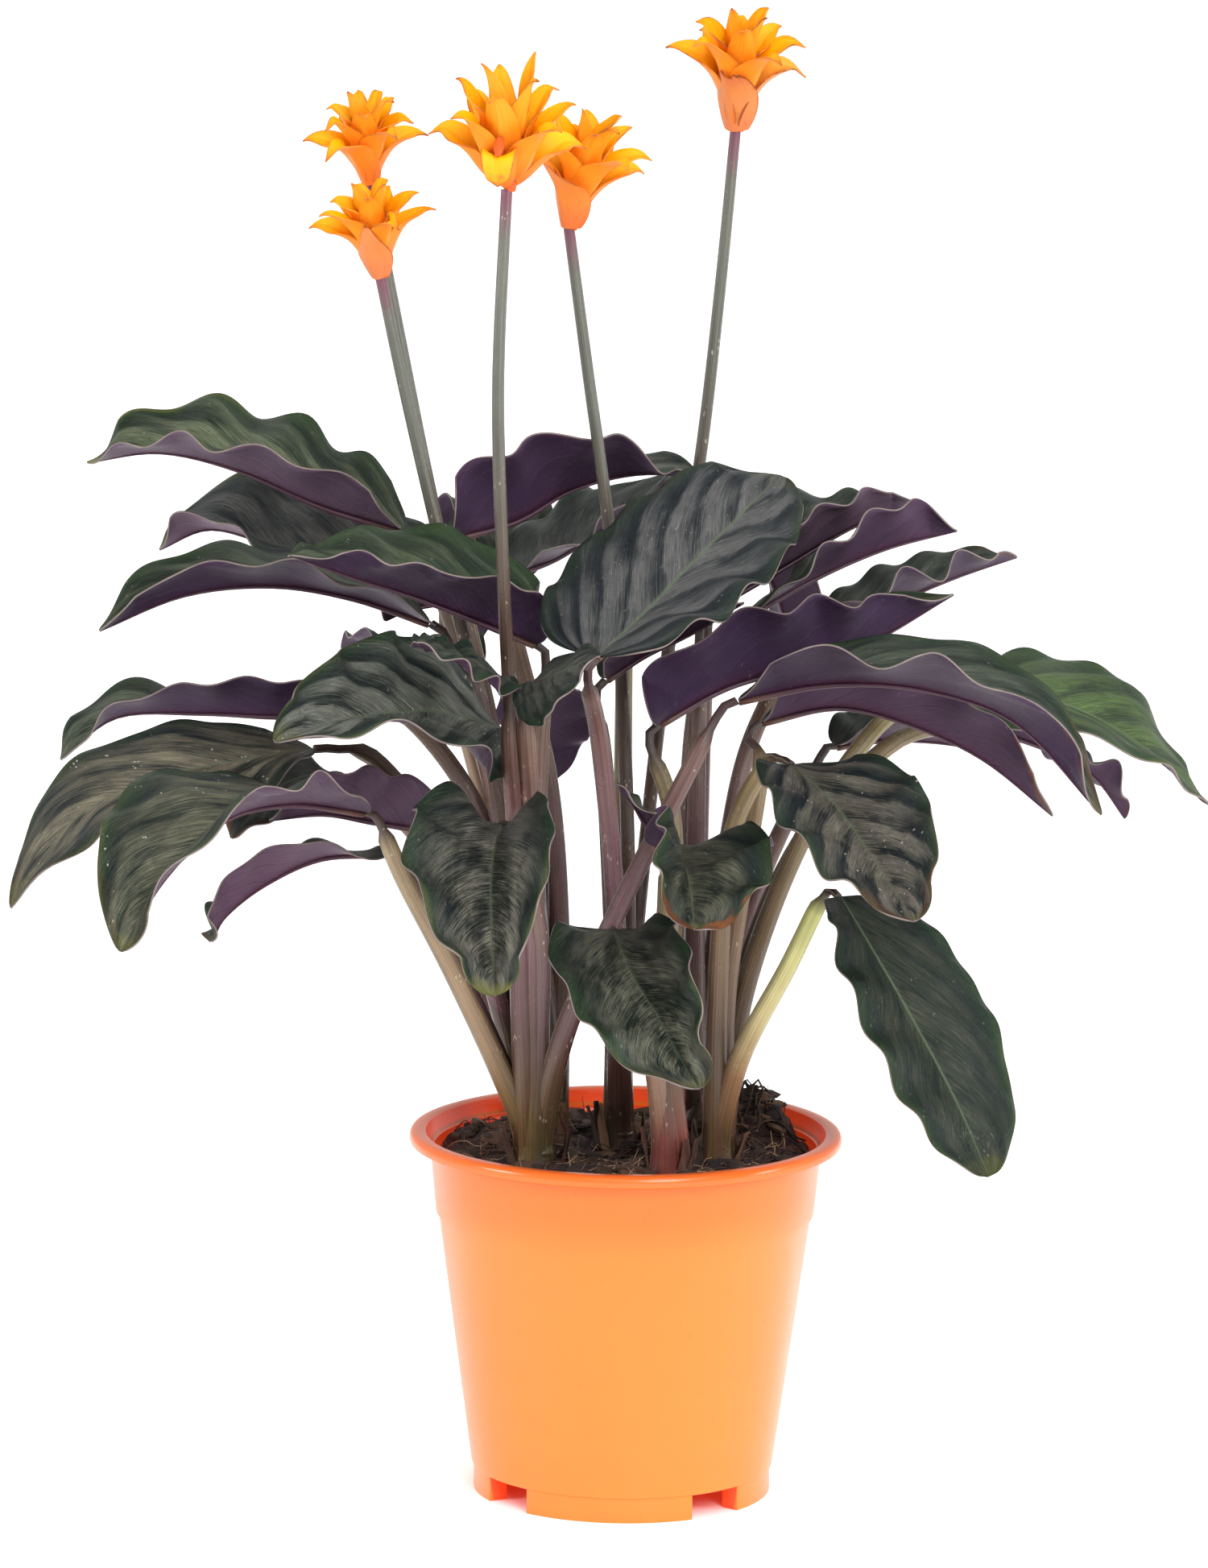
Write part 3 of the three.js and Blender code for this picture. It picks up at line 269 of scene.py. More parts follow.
    leaf("low_left_back", "back_left", habit=(0.3, 0.4, 0.2, 0.6), skin="olive",
         midrib=[(-59, 63, 282), (-67, 70, 279), (-74, 76, 276), (-81, 80, 272)],
         right=half(14, [35, 30, 20], 3, [4, 2, 0.3]), left=half(14, [35, 30, 20], 3, [4, 2, 0.8]),
         stem=[(-30, 38, 165), (-44, 50, 225)]),
    leaf("hanging_back", "back_left", habit=(0.2, 0.3, 0.1, 0.0),
         midrib=[(-30, 60, 252), (-30, 68, 240), (-29, 75, 229), (-27, 79, 218)],
         right=half(18, [35, 30, 20], 3, [4, 2, 0.3]), left=half(18, [35, 30, 20], 3, [4, 2, 0.8]),
         stem=[(-22, 44, 160), (-26, 51, 200), (-29, 54, 237)]),
    leaf("back_1", "back_left", habit=(0.4, 0.6, 0.2, 0.0),
         midrib=[(-41, 92, 284), (-44, 103, 299), (-48, 112, 297), (-51, 118, 281), (-53, 120, 257)],
         right=half(20, [20, 25, 20], 3, [4, 2, 0.3]), left=half(20, [25, 30, 20], 3, [3.5, 2, 0.8]),
         stem=[(-25, 50, 160), (-33, 88, 220)]),
    leaf("back_2", "middle", habit=(0.5, 0.6, 0.1, 0.0), skin="olive",
         midrib=[(-2, 98, 286), (-2, 108, 302), (0, 115, 299), (2, 119, 282), (3, 121, 256)],
         right=half(21, [25, 30, 20], 3, [3.5, 2, 0.1]), left=half(20, [25, 30, 20], 3, [4, 2, 0.6]),
         stem=[(-2, 44, 165), (-2, 84, 230)]),
    leaf("back_3", "back_right", habit=(0.35, 0.7, 0.2, 0.0),
         midrib=[(27, 94, 274), (35, 105, 290), (43, 112, 288), (51, 116, 270), (56, 117, 244)],
         right=half(20, [30, 30, 20], 3, [3.5, 2, 0.5]), left=half(20, [30, 25, 20], 3, [3.5, 2, 0.9]),
         stem=[(23, 54, 160), (24, 88, 220)]),
    leaf("middle_low", "middle", habit=(0.3, 0.5, 0.1, 0.0),
         midrib=[(-8, 8, 265), (4, 12, 272), (20, 17, 279), (36, 22, 288)],
         right=half(18, [50, 40, 30], 5, [3, 2.5, 0.3]), left=half(16, [10, 10, 20], 3, [3, 2.5, 0.8]),
         stem=[(-4, 8, 170), (-8, 4, 235)]),
    leaf("back_5", "back_left", habit=(0.45, 0.6, 0.3, 0.0), skin="fawn",
         midrib=[(-59, 56, 252), (-69, 78, 256), (-79, 99, 254), (-86, 114, 247)],
         right=half(24, [35, 30, 20], 3, [4, 2, 0.3]), left=half(24, [35, 30, 20], 3, [4, 2, 0.8]),
         stem=[(-31, 38, 160), (-47, 54, 215)]),
]

# Blooms. Their feet and stem points come from a program's results for listed places, and some of
# them were moved since.
FLOWERS = [
    flower("flower_back_left", "left", width=42, height=32, lean=-6, base=(-85, 12, 422), spent=0.4,
           stem=[(-33, 2, 180), (-48, 6, 255), (-63, 9, 315), (-75, 12, 372)]),
    flower("flower_front_left", "left", width=42, height=33, lean=-10, base=(-81, -8, 395),
           spent=0.3, front="upright",
           stem=[(-36, -6, 190), (-50, 1, 262), (-64, 0, 319), (-74, -4, 362)]),
    flower("flower_left", "left", width=53, height=43, lean=0, base=(-41, -38, 426), spent=0.4,
           belly=(14, 0.1), lowest=0.3, front="cup",
           stem=[(-34, -20, 185), (-38, -36, 256), (-41, -46, 310), (-43, -45, 366)]),
    flower("flower_right", "middle", width=50, height=41, lean=13, base=(-22, 26, 408),
           spent=0.4, front="broad",
           stem=[(0, 17, 190), (-3, 28, 260), (-8, 31, 312), (-15, 30, 360)]),
    flower("flower_tall", "middle", width=52, height=42, lean=2, base=(32, 80, 435), spent=0.6, front="torn",
           stem=[(4, 38, 190), (12, 74, 262), (22, 90, 325), (28, 86, 385)]),
]

# How browned a foremost bract is at least, and its width against a plain one.
FRONT_SPENT = {"plain": 0, "cup": 0, "broad": 0.85, "upright": 1, "torn": 1}
FRONT_WIDTHS = {"plain": 1, "cup": 1, "broad": 1.25, "upright": 1.1, "torn": 1.15}

# Stalk colours: at the foot, along the middle and just under the blade.
SKINS = {
    "mauve": ("#543d36", "#63474a", "#6b5448"),
    "olive": ("#4c3a2b", "#6d5842", "#7b6b4b"),
    "fawn": ("#7b644c", "#846d58", "#8a775c"),
    "cream": ("#7d5c48", "#b3a07e", "#c0bb78"),
    "scape": ("#4a3029", "#4a372d", "#5b5c52"),
}
JOINT = "#35241f"           # the short dark joint that carries a blade
COLLAR = "#6b3549"          # the ring under a bloom
CROWN_SKINS = {
    "left": "#5f5436", "middle": "#4a3a2e", "front": "#6c3833",
    "right": "#4d3c2c", "back_left": "#48382a", "back_right": "#4e3c2e",
}


# ---- colours ----
def paint(code):
    """Linear colour from a six-digit sRGB code."""
    channels = [int(code[k:k + 2], 16) / 255 for k in (1, 3, 5)]
    linear = [c / 12.92 if c <= 0.04045 else ((c + 0.055) / 1.055) ** 2.4 for c in channels]
    return (*linear, 1.0)


def graded(stops, share):
    """Colours at the given shares between stops [(share, colour code), ...], one row for each."""
    places = [place for place, _ in stops]
    colours = np.array([paint(code) for _, code in stops])
    return np.stack([np.interp(share, places, colours[:, k]) for k in range(4)], 1)


def eased(value, low, high):
    """0 below low, 1 above high and smooth between."""
    t = np.clip((value - low) / (high - low), 0, 1)
    return t * t * (3 - 2 * t)


# ---- curves ----
def unit(vectors):
    return vectors / np.linalg.norm(vectors, axis=-1, keepdims=True)


def through(points, share):
    """Points at shares 0 to 1 of the smooth curve through the given points."""
    knots = np.array(points, float)
    knots = np.vstack([2 * knots[0] - knots[1], knots, 2 * knots[-1] - knots[-2]])
    spans = len(knots) - 3
    place = np.clip(np.asarray(share, float), 0, 1) * spans
    span = np.minimum(place.astype(int), spans - 1)
    w = (place - span)[..., None]
    before, start, end, after = (knots[span + k] for k in range(4))
    leaving = (end - before) / 2
    arriving = (after - start) / 2
    bend = 3 * (end - start) - 2 * leaving - arriving
    twist = 2 * (start - end) + leaving + arriving
    return start + leaving * w + bend * w**2 + twist * w**3


def frames_along(path, shares):
    """Centres, two side directions and the length, at shares of the curve's length."""
    fine = through(path, np.linspace(0, 1, 400))
    run = np.concatenate([[0], np.cumsum(np.linalg.norm(np.diff(fine, axis=0), axis=1))])
    reached = shares * run[-1]
    centres = np.stack([np.interp(reached, run, fine[:, k]) for k in range(3)], 1)
    slopes = np.gradient(fine, axis=0)
    growth = unit(np.stack([np.interp(reached, run, slopes[:, k]) for k in range(3)], 1))
    side = np.cross(growth[0], (0, 1, 0))
    sides = []
    for direction in growth:
        side = unit(side - direction * (direction @ side))
        sides.append(side)
    sides = np.array(sides)
    return centres, sides, np.cross(growth, sides), run[-1]


# ---- handling pieces ----
def only(obj):
    """Makes obj the one selected and active object."""
    bpy.ops.object.select_all(action="DESELECT")
    obj.select_set(True)
    bpy.context.view_layer.objects.active = obj


def named(obj, name):
    obj.name = name
    obj.data.name = name
    return obj


def twin(template, name):
    """A copy of the template with its own mesh."""
    copy = template.copy()
    copy.data = template.data.copy()
    bpy.context.scene.collection.objects.link(copy)
    return named(copy, name)


def points_of(obj):
    flat = np.empty(3 * len(obj.data.vertices))
    obj.data.vertices.foreach_get("co", flat)
    return flat.reshape(-1, 3)


def move_points(obj, points, scale=MM):
    obj.data.vertices.foreach_set("co", (np.asarray(points) * scale).astype(np.float32).ravel())
    obj.data.update()


def note(obj, name, kind, values):
    """Keeps a colour or a vector on every point, for the materials to read."""
    field, width = {"FLOAT_COLOR": ("color", 4), "FLOAT_VECTOR": ("vector", 3)}[kind]
    layer = obj.data.attributes.new(name, kind, "POINT")
    every = np.broadcast_to(np.asarray(values, np.float32), (len(obj.data.vertices), width))
    layer.data.foreach_set(field, np.ascontiguousarray(every).ravel())


def dress(obj, *finishes):
    obj.data.materials.clear()
    for finish in finishes:
        obj.data.materials.append(finish)


def thicken(obj, thickness):
    """Gives a sheet its thickness: first material in front, second behind, third round the edge."""
    only(obj)
    shell = obj.modifiers.new("thickness", "SOLIDIFY")
    shell.thickness = thickness * MM
    shell.offset = 0
    shell.material_offset = 1
    shell.material_offset_rim = 2
    bpy.ops.object.modifier_apply(modifier=shell.name)


def gathered(name, parts):
    """The parts joined into one piece."""
    only(parts[0])
    for part in parts:
        part.select_set(True)
    if len(parts) > 1:
        bpy.ops.object.join()
    return named(parts[0], name)


def smooth(obj, degrees=180):
    only(obj)
    bpy.ops.object.shade_smooth_by_angle(angle=math.radians(degrees))


def keep(obj, slot, *nodes):
    """Sets a finished piece on the plant in place of its plain solids."""
    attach(obj, "root")
    if nodes:
        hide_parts(*nodes)
    return obj


# ---- templates: what repeats is modelled once ----
def sheet_template(name, across, along):
    """A flat sheet: X from -1 to 1 across, Y from 0 to 1 along, finer towards its two ends."""
    bpy.ops.object.select_all(action="DESELECT")
    bpy.ops.mesh.primitive_grid_add(x_subdivisions=across, y_subdivisions=along, size=2)
    sheet = named(bpy.context.object, name)
    points = points_of(sheet)
    even = (points[:, 1] + 1) / 2
    points[:, 1] = 0.65 * even + 0.175 * (1 - np.cos(np.pi * even))
    move_points(sheet, points, scale=1)
    corners = np.empty(len(sheet.data.loops), int)
    sheet.data.loops.foreach_get("vertex_index", corners)
    flat = np.stack([(points[corners, 0] + 1) / 2, points[corners, 1]], 1)
    sheet.data.uv_layers.active.data.foreach_set("uv", flat.astype(np.float32).ravel())
    return sheet


def open_ring(name, sides, radius, level):
    """A ring of points at this level, left open for editing, to be drawn out into walls."""
    bpy.ops.object.select_all(action="DESELECT")
    bpy.ops.mesh.primitive_circle_add(
        vertices=sides, radius=radius, fill_type="NOTHING", location=(0, 0, level))
    ring = named(bpy.context.object, name)
    bpy.ops.object.transform_apply(location=True)
    bpy.ops.object.mode_set(mode="EDIT")
    bpy.ops.mesh.select_all(action="SELECT")
    return ring


def rise_by(height):
    """Draws the ring being edited upwards into a wall."""
    bpy.ops.mesh.extrude_region_move(TRANSFORM_OT_translate={"value": (0, 0, height)})


def widen_by(share, level=0):
    """Widens or narrows the ring being edited."""
    bpy.ops.transform.resize(value=(share, share, 1), center_override=(0, 0, level))


def close_ends():
    """Closes both ends of what was drawn from a ring and turns its faces outwards."""
    bpy.ops.mesh.edge_face_add()
    bpy.ops.mesh.select_all(action="DESELECT")
    bpy.ops.mesh.select_non_manifold()
    bpy.ops.mesh.edge_face_add()
    bpy.ops.mesh.select_all(action="SELECT")
    bpy.ops.mesh.normals_make_consistent(inside=False)


def rod_template(name, sides, rings):
    """A closed upright rod of unit radius and height, in even rings."""
    rod = open_ring(name, sides, 1, 0)
    for _ in range(rings):
        rise_by(1 / rings)
    close_ends()
    bpy.ops.object.mode_set(mode="OBJECT")
    return rod


def lump_template():
    """A rough little block with its corners taken off, for bark and crumbs of peat."""
    bpy.ops.object.select_all(action="DESELECT")
    bpy.ops.mesh.primitive_cube_add(size=2)
    lump = named(bpy.context.object, "lump_template")
    bpy.ops.object.mode_set(mode="EDIT")
    bpy.ops.mesh.select_all(action="SELECT")
    bpy.ops.mesh.subdivide(number_cuts=1, smoothness=0.6)
    bpy.ops.object.mode_set(mode="OBJECT")
    return lump


def bend_rod(rod, path, radius, flat=1.0):
    """Lays a unit rod along a path; radius gives its girth at each share of the length. Returns each
    point's share of the length."""
    straight = points_of(rod)
    share = np.round(straight[:, 2], 5)
    around = np.arctan2(straight[:, 1], straight[:, 0])
    stations, station = np.unique(share, return_inverse=True)
    centres, sides, lifts, length = frames_along(path, stations)
    outwards = sides[station] * np.cos(around)[:, None] + lifts[station] * (flat * np.sin(around))[:, None]
    move_points(rod, centres[station] + outwards * np.asarray(radius(share, around))[:, None])
    note(rod, "grain", "FLOAT_VECTOR", np.stack([np.cos(around), np.sin(around), share * length / 10], 1))
    return share


# ---- leaves ----
def bend_along(base, middle, tip, u):
    """Value between base, middle and tip of a blade, on one smooth curve."""
    return base * (1 - u) * (1 - 2 * u) + 4 * middle * u * (1 - u) + tip * u * (2 * u - 1)


def blade_frame(midrib, u):
    """Points of the midrib with the directions of growth, right and up."""
    growth = unit(through(midrib, np.minimum(u + 1e-3, 1)) - through(midrib, np.maximum(u - 1e-3, 0)))
    heading = np.subtract(midrib[-1], midrib[0]).astype(float)
    right = np.array([heading[1], -heading[0], 0])
    right = unit(right - growth * (growth @ right)[:, None])
    return through(midrib, u), growth, right, np.cross(right, growth)


def rib_phase(row, reach, leftwards, u):
    """Counts the side veins: whole numbers lie on a vein, which sweeps forward to the margin."""
    forward = reach * (1 - RIB_BEND + RIB_BEND * reach) * (1 - 0.4 * u)
    return RIB_COUNT * (u - np.where(leftwards, *row["sweep"]) * forward) + 0.5 * leftwards


def blade_relief(row, reach, leftwards, u, width):
    """Height of the swellings between side veins, of the crinkled margin and of slow dents."""
    luck = random.Random(row["name"])
    turn = luck.uniform(0, FULL_TURN)
    phase = rib_phase(row, reach, leftwards, u)
    swelling = np.abs(np.sin(np.pi * phase)) ** 0.8 - 0.6
    uneven = 0.65 + 0.35 * np.sin(1.7 * phase + turn)
    ribs = RIB_HEIGHT * uneven * swelling * np.clip(reach / 0.18, 0, 1) * (1 - 0.5 * reach**3)
    crinkle = 0.6 * reach**4 * np.sin(2 * np.pi * phase * luck.uniform(0.75, 1.05) + turn)
    dents = reach * np.sin(9 * u + 4 * reach + turn) * np.sin(23 * u - 5 * reach + 2 * turn)
    return (width / 28) ** 1.5 * (ribs + crinkle + 0.8 * dents)


def blade_points(row, across, u):
    """Places of a blade's points: across is -1 at the left margin and 1 at the right, u runs to the tip."""
    u = np.clip(u, 0, 1)
    point, growth, right, up = blade_frame(row["midrib"], u)
    leftwards = across < 0
    side = np.where(leftwards, -1.0, 1.0)
    reach = np.abs(across)
    measures = [[each["width"], *each["raised"], each["lobe"], *each["waves"]]
                for each in (row["left"], row["right"])]
    half_width, base, middle, tip, lobe, waves, height, start = np.where(
        leftwards[:, None], measures[0], measures[1]).T
    width = half_width * np.abs(np.sin(np.pi * u**0.8)) ** row["taper"] + BLADE_POINT
    flat = 0.15 + 0.85 * np.minimum(1, np.minimum(u, 1 - u) / 0.12)
    raised = np.radians(bend_along(base, middle, tip, u)) * flat
    first = raised + BLADE_CURL / 2
    last = raised + BLADE_CURL * (0.5 - reach)
    sideways = width * (np.sin(first) - np.sin(last)) / BLADE_CURL
    upwards = width * (np.cos(last) - np.cos(first)) / BLADE_CURL
    ends = np.abs(np.sin(np.pi * u)) ** 0.5
    wave = height * reach**1.5 * np.sin(2 * np.pi * (waves * u + start)) * ends
    wave += blade_relief(row, reach, leftwards, u, half_width) * ends
    back = lobe * reach**1.2 * 23 * u * (1 - u) ** 8
    return (point + right * (side * (sideways - wave * np.sin(last)))[:, None]
            + up * (upwards + wave * np.cos(last))[:, None] - growth * back[:, None])


def midrib_points(row, upright):
    """Places of the vein that stands out under the blade's middle."""
    u = np.clip(upright[:, 2], 0, 1)
    point, _, right, up = blade_frame(row["midrib"], u)
    radius = 0.25 + 0.85 * (1 - u) ** 1.4
    return point + right * (radius * upright[:, 0])[:, None] + up * (radius * (upright[:, 1] - 0.85))[:, None]


def leaf_piece(row, blade_sheet, vein_rod, finishes):
    """One leaf: a two-coloured blade with the vein under it."""
    blade = twin(blade_sheet, "blade")
    flat = points_of(blade)
    move_points(blade, blade_points(row, flat[:, 0], flat[:, 1]))
    note(blade, "habit", "FLOAT_COLOR", row["habit"])
    note(blade, "character", "FLOAT_COLOR", (*row["sweep"], *row["shade"][:2]))
    seed = random.Random(row["name"]).uniform(0, 40)
    note(blade, "own", "FLOAT_VECTOR", (seed, row["shade"][2], 0.8 if row["name"] in FLECKED else 0.15))
    dress(blade, finishes["leaf top"], finishes["leaf underside"], finishes["leaf margin"])
    thicken(blade, BLADE_THICKNESS)
    vein = twin(vein_rod, "vein")
    upright = points_of(vein)
    move_points(vein, midrib_points(row, upright))
    note(vein, "grain", "FLOAT_VECTOR", upright * (1, 1, 9))
    dress(vein, finishes["midrib"])
    leaf_done = gathered("blade_" + row["name"], [blade, vein])
    smooth(leaf_done)
    return keep(leaf_done, "leaves", "leaf_" + row["name"])


# ---- stalks and crowns ----
def sheath_foot(row):
    """Where a stalk leaves the soil: on the side of its crown that it leans to."""
    x, y, radius = SHOOTS[row["shoot"]]
    luck = random.Random(row["name"] + " foot")
    lean = np.subtract(row["stem"][0][:2], (x, y)) + (luck.gauss(0, 2), luck.gauss(0, 2))
    out = lean / np.linalg.norm(lean) * (radius - 3.5) * luck.uniform(0.75, 1)
    return [(x + out[0], y + out[1], CROWN_FOOT), (x + 0.8 * out[0], y + 0.8 * out[1], CROWN_FOOT + 16)]


def petiole_path(row):
    """Its last stretch points halfway between the way it comes up and the way its blade grows."""
    base = np.array(row["midrib"][0], float)
    heading = unit(unit(base - row["stem"][-1]) + blade_frame(row["midrib"], np.zeros(1))[1][0])
    return [*sheath_foot(row), *row["stem"], base - 7 * heading, base - STALK_GAP * heading]


def petiole(row, rod):
    """A leaf's stalk: a broad sheath that narrows upwards, then the thin joint under the blade."""
    luck = random.Random(row["name"] + " stalk")
    stalk = twin(rod, "stalk")
    joint = 0.92

    def girth(share, around):
        sheath = 2.6 + 1.0 * (1 - share) ** 1.3 + 1.5 * (1 - share) ** 6
        lips = 0.35 * np.exp(-((np.cos(around) - 1) / 0.06) ** 2) * (share < joint)
        neck = eased(share, joint - 0.025, joint + 0.005)
        return (sheath + lips) * (1 - neck) + (1.75 - 0.3 * share) * neck

    share = bend_rod(stalk, petiole_path(row), girth, flat=0.85)
    foot, middle, top = SKINS[row["skin"]]
    heart = CROWN_SKINS[row["shoot"]]
    stops = [(0, heart), (0.12, heart), (0.3, foot), (0.5, middle), (joint - 0.04, top),
             (joint + 0.01, JOINT), (1, JOINT)]
    tone = luck.uniform(0.85, 1.35)
    colours = graded(stops, share) * [tone * luck.uniform(0.92, 1.08) for _ in range(4)]
    colours[:, 3] = 1 - eased(share, 0.0, 0.16)
    note(stalk, "tint", "FLOAT_COLOR", colours)
    return stalk


def scape_path(row):
    lean = math.radians(row["lean"])
    axis = np.array([math.sin(lean), 0, math.cos(lean)])
    return [*sheath_foot(row), *row["stem"], np.array(row["base"]) + 0.6 * axis]


def scape(row, rod):
    """A bloom's stem: slim, even, with a coloured collar at its top."""
    stem = twin(rod, "stalk")
    share = bend_rod(stem, scape_path(row), lambda share, around: 2.55 - 0.75 * share)
    foot, middle, top = SKINS["scape"]
    stops = [(0, foot), (0.3, middle), (0.6, middle), (0.8, top), (0.96, top), (0.985, COLLAR), (1, COLLAR)]
    colours = graded(stops, share)
    colours[:, 3] = 1 - eased(share, 0.0, 0.12)
    note(stem, "tint", "FLOAT_COLOR", colours)
    return stem


def crown(name, rod):
    """The heart of a shoot between its sheaths, ringed with the scars of old ones."""
    x, y, radius = SHOOTS[name]
    body = twin(rod, "stalk")

    def girth(share, around):
        rings = 0.25 * np.abs(np.sin(9 * np.pi * share))
        return (radius - 1.5) * (1 + 0.05 * np.cos(3 * around) - 0.75 * eased(share, 0.5, 1)) + rings

    share = bend_rod(body, [(x, y, CROWN_FOOT), (x, y, 111), (x, y, 118), (x, y, 125)], girth)
    colours = graded([(0, CROWN_SKINS[name]), (1, CROWN_SKINS[name])], share)
    colours[:, 3] = 1 - 0.6 * eased(share, 0.2, 0.9)
    note(body, "tint", "FLOAT_COLOR", colours)
    return body


def shoot_piece(name, rod, finishes):
    parts = [crown(name, rod)]
    parts += [petiole(row, rod) for row in LEAVES if row["shoot"] == name]
    parts += [scape(row, rod) for row in FLOWERS if row["shoot"] == name]
    for part in parts:
        dress(part, finishes["stalk skin"])
    shoot = gathered("stalks_" + name, parts)
    smooth(shoot, 60)
    return keep(shoot, "stems", "shoot_" + name)


# ---- blooms ----
def bract_line(row, rank, luck, habit):
    """Radius and height of a bract's four guide points, from its foot to its tip."""
    width, height, belly, lowest = row["width"], row["height"], row["belly"], row["lowest"]
    if habit == "cup":
        return [(2, height * 0.03), (12, height * 0.06), (14, height * 0.54), (15, height * 0.09)]
    if habit == "broad":
        return [(2.2, 0), (6, height * 0.22), (12, height * 0.42), (19, height * 0.5)]
    if habit == "upright":
        return [(2.2, 0), (5.5, height * 0.22), (9, height * 0.42), (9, height * 0.64)]
    if habit == "torn":
        return [(2.4, 0), (belly[0], height * 0.25), (9, height * 0.5), (20, height * 0.72)]
    reach = width * (0.55 - 0.38 * rank**1.3) * luck.uniform(0.92, 1.04)
    foot = height * (0.02 + 0.47 * rank**1.4)
    tip = height * (lowest + (1 - lowest) * rank**0.8) + luck.uniform(-3, 2) * (1 - rank)
    return [
        (2.2 + rank, foot), (belly[0] * (1 - 0.4 * rank), foot + height * (belly[1] - 0.1 * rank)),
        (2 + reach * 0.5, tip + height * (0.14 - 0.2 * rank)), (reach, tip),
    ]


def bract_points(row, rank, turn, luck, habit, across, u):
    """Places of one bract's points before it is turned round the bloom. rank 0 is the lowest."""
    u = np.clip(u, 0, 1)
    if habit == "torn":
        u = u * (0.6 + 0.03 * np.sin(7 * across) + 0.02 * np.sin(23 * across + 1))
    guide = np.array(bract_line(row, rank, luck, habit))
    weights = np.stack([(1 - u) ** 3, 3 * u * (1 - u) ** 2, 3 * u * u * (1 - u), u**3], 1)
    radius, rise = (weights @ guide).T
    out, climb = unit(np.stack([(1 - u) ** 2, 2 * u * (1 - u), u**2], 1) @ np.diff(guide, axis=0)).T
    blunt, widest = (0.35, 0.72) if habit == "cup" else (1.2, 0.345)
    spear = (u + 0.12) ** 0.8 * (1 - u) ** blunt / widest
    breadth = row["width"] * (0.148 - 0.055 * rank) * FRONT_WIDTHS[habit]
    half_width = breadth * spear + 0.08
    ripple = luck.uniform(0.2, 1.0) * np.abs(across) ** 3 * np.sin(2 * np.pi * (1.6 * u + luck.random()))
    boat = (0.7 - 0.35 * eased(u, 0.35, 0.8)) * half_width * np.abs(across) ** 1.5
    keel = -0.35 * np.exp(-(across / 0.12) ** 2) * np.sin(np.pi * u)
    inwards = boat + keel + ripple * spear
    sideways = -across * half_width * (1 - 0.12 * np.abs(across) ** 3)
    roll = (0.75 * math.cos(turn) + luck.uniform(-0.3, 0.3)) * eased(u, 0.25, 0.8) * (habit != "cup")
    lift = inwards * np.cos(roll) + sideways * np.sin(roll)
    curl = eased(u, 0.72, 1.0) ** 1.4 * luck.uniform(-0.8, 3.2)
    sway = luck.uniform(-2.6, 2.6) * eased(u, 0.4, 1) ** 1.6 * (habit != "cup")
    shift = sideways * np.cos(roll) - inwards * np.sin(roll) + sway
    return np.stack([radius - climb * lift, shift, rise + out * lift - curl], 1)


def bract_piece(row, bract_sheet, finishes, luck, i):
    """One bract, turned to its place on the spiral. The lowest one faces forward."""
    rank = i / (BRACT_COUNT - 1)
    bract = twin(bract_sheet, "bract")
    flat = points_of(bract)
    habit = row["front"] if i == 0 else "plain"
    turn = FRONT_TURNS.get(habit, LOWEST_TURN + i * GOLDEN + luck.uniform(-0.2, 0.2))
    shape = bract_points(row, rank, turn, luck, habit, flat[:, 0], flat[:, 1])
    move_points(bract, upright_on(row, turned_about(shape, turn)))
    spent = min(1, row["spent"] * luck.uniform(0.3, 1.9))
    note(bract, "bloom", "FLOAT_COLOR", (rank, max(spent, FRONT_SPENT[habit]), luck.random(), 1))
    dress(bract, finishes["bract inside"], finishes["bract outside"], finishes["bract edge"])
    thicken(bract, BRACT_THICKNESS)
    return bract


def bud_piece(row, rod, finishes, girth, middle, tall, turn, out, start=1):
    """A closed bud or floret: middle and start are its foot's height and distance from the axis, tall
    and out how far it rises and leans away."""
    bud = twin(rod, "bract")
    upright = points_of(bud)
    swell = girth * (0.55 + 0.75 * np.sin(np.pi * np.clip(upright[:, 2] * 0.9 + 0.05, 0, 1)))
    radius = start + out * upright[:, 2]
    x, y, z = upright.T
    shape = np.stack([x * swell + radius, y * swell, middle + tall * z], 1)
    move_points(bud, upright_on(row, turned_about(shape, turn)))
    note(bud, "bloom", "FLOAT_COLOR", (0.3, 0.4, 0.5, 1))
    dress(bud, finishes["floret"])
    return bud


def bloom_piece(row, bract_sheet, rod, finishes):
    """A rosette of bracts that spiral up round their florets."""
    luck = random.Random(row["name"])
    height = row["height"]
    parts = [bract_piece(row, bract_sheet, finishes, luck, i) for i in range(BRACT_COUNT)]
    parts.append(bud_piece(row, rod, finishes, 2.6, 0, 0.62 * height, 0, 0))
    if row["front"] == "cup":
        turn = FRONT_TURNS["cup"]
        parts.append(bud_piece(row, rod, finishes, 1.3, 0.42 * height, -0.13 * height, turn, 4.5, 11))
    for k in range(2):
        turn = LOWEST_TURN + luck.uniform(-1.8, 1.8)
        parts.append(bud_piece(row, rod, finishes, 0.75, 0.52 * height, 0.16 * height, turn, 3 + 2 * k))
    bloom = gathered("bloom_" + row["name"].removeprefix("flower_"), parts)
    smooth(bloom, 80)
    return keep(bloom, "bracts", row["name"])


def turned_about(points, angle):
    """Points turned about the Z axis."""
    c, s = math.cos(angle), math.sin(angle)
    x, y, z = points.T
    return np.stack([x * c - y * s, x * s + y * c, z], 1)


def upright_on(row, points):
    """Points leant to +X and carried to the foot of the bloom."""
    lean = math.radians(row["lean"])
    c, s = math.cos(lean), math.sin(lean)
    x, y, z = points.T
    return np.stack([x * c + z * s, y, z * c - x * s], 1) + np.array(row["base"])


